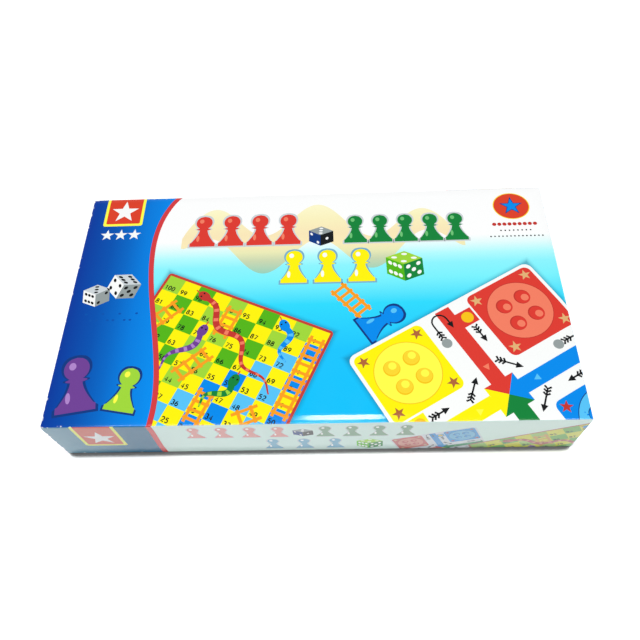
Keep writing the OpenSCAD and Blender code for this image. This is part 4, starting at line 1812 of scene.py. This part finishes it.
@dataclass
class Studio:
    """White table, soft light from above, and the photograph's camera."""

    place: tuple[float, float, float] = (0.02588, -0.27965, 0.48616)
    turn: tuple[float, float, float] = (30.903, 2.626, 0.105)
    focal_px: float = 632.05
    picture_px: float = 640.0
    table_half: float = 6.0
    table_near: float = 0.8
    table_white: float = 1.24
    far_white: float = 15.0
    # Ambient occlusion that paints the shadow where the box meets the table: its reach, the occlusion over
    # which it fades and its darkest white
    contact_reach: float = 0.010
    contact_open: tuple[float, float] = (0.63, 0.73)
    contact_dark: float = 0.16
    unseen_glow: float = 0.4
    ceiling_glow: float = 0.12

    def build(self) -> None:
        """Builds the table, the world, the lamps and the camera."""
        self.table()
        self.world()
        self.lamp("softbox", (0.0, -0.95, 3.8), (3.4, 2.0), 138.0)
        self.lamp("glint", (0.0, 0.72, 3.8), (0.5, 0.68), 24.0)
        self.camera()
        bpy.context.scene.view_settings.view_transform = "Standard"

    def table(self) -> None:
        """Makes a wide table, white to the camera and in reflections, with a painted shadow where the box
        meets it.

        Its white grows with the distance from the box, as the lamps' light falls off.
        """
        corners = np.array([[-1.0, -1.0, 0.0], [1.0, -1.0, 0.0], [1.0, 1.0, 0.0], [-1.0, 1.0, 0.0]])
        corners *= self.table_half
        material = bpy.data.materials.new("table_white")
        material.use_nodes = True
        graph = Graph(material.node_tree)
        graph.tree.nodes.clear()
        # Painted shadow: the table's colour darkens with ambient occlusion where the box meets it
        shadow_occlusion = graph.add("ShaderNodeAmbientOcclusion", {"Distance": self.contact_reach}, samples=16)
        away = graph.add("ShaderNodeVectorMath", {0: graph.place()}, operation="LENGTH").outputs["Value"]
        white = graph.remap(away, self.table_near, self.table_half, self.table_white, self.far_white)
        white_with_painted_shadow = graph.remap(shadow_occlusion.outputs["AO"], *self.contact_open, self.contact_dark, white)
        plain = graph.add("ShaderNodeBsdfDiffuse", {"Color": (0.82, 0.82, 0.82, 1.0)})
        lit = graph.add("ShaderNodeBsdfDiffuse", {"Color": white_with_painted_shadow})
        mixed = graph.add("ShaderNodeMixShader", {0: graph.seen(), 1: plain.outputs[0], 2: lit.outputs[0]})
        graph.add("ShaderNodeOutputMaterial", {"Surface": mixed.outputs[0]})
        make_piece("table", corners, [[0, 1, 2, 3]], [material])

    def world(self) -> None:
        """Surrounds the set with a white backdrop that fades to a dim ceiling."""
        world = bpy.data.worlds.new("studio")
        world.use_nodes = True
        graph = Graph(world.node_tree)
        graph.tree.nodes.clear()
        view = graph.add("ShaderNodeTexCoord").outputs["Generated"]
        up = graph.add("ShaderNodeSeparateXYZ", {0: view}).outputs["Z"]
        more = graph.math("MULTIPLY", graph.seen(), 1.0 - self.unseen_glow)
        backdrop = graph.math("ADD", more, self.unseen_glow)
        fade = graph.remap(up, 0.35, 0.60, 1.0, self.ceiling_glow)
        strength = graph.math("MULTIPLY", backdrop, fade)
        glow = graph.add("ShaderNodeBackground", {"Color": (1.0, 1.0, 1.0, 1.0), "Strength": strength})
        graph.add("ShaderNodeOutputWorld", {"Surface": glow.outputs[0]})
        bpy.context.scene.world = world

    @staticmethod
    def lamp(name: str, place: tuple[float, float, float], size: tuple[float, float], power: float) -> None:
        """Hangs a rectangular soft lamp that faces down.

        Args:
            name: the lamp's name.
            place: where it hangs.
            size: its size along X and Y, in metres.
            power: its power in watts.
        """
        data = bpy.data.lights.new(name, "AREA")
        data.shape = "RECTANGLE"
        data.size, data.size_y = size
        data.energy = power
        lamp = bpy.data.objects.new(name, data)
        lamp.location = place
        bpy.context.scene.collection.objects.link(lamp)

    def camera(self) -> None:
        """Sets the camera where the box's corners in the photograph put it."""
        data = bpy.data.cameras.new("camera")
        data.sensor_width = 36.0
        data.lens = self.focal_px / self.picture_px * data.sensor_width
        data.clip_start = 0.01
        camera = bpy.data.objects.new("camera", data)
        camera.location = Vector(self.place)
        camera.rotation_euler = Euler([math.radians(a) for a in self.turn])
        bpy.context.scene.collection.objects.link(camera)
        bpy.context.scene.camera = camera


def main() -> None:
    """Builds each sub-assembly, then the studio, and reports the pieces."""
    logging.basicConfig(level=logging.INFO, format="%(message)s")
    for assembly in (Lid(), Tray(), FoldingBoard(), PlayingPieces()):
        for piece in assembly.build():
            LOG.info("%s: %s with %d faces", type(assembly).__name__, piece.name, len(piece.data.polygons))
    Studio().build()


if __name__ == "__main__":
    main()
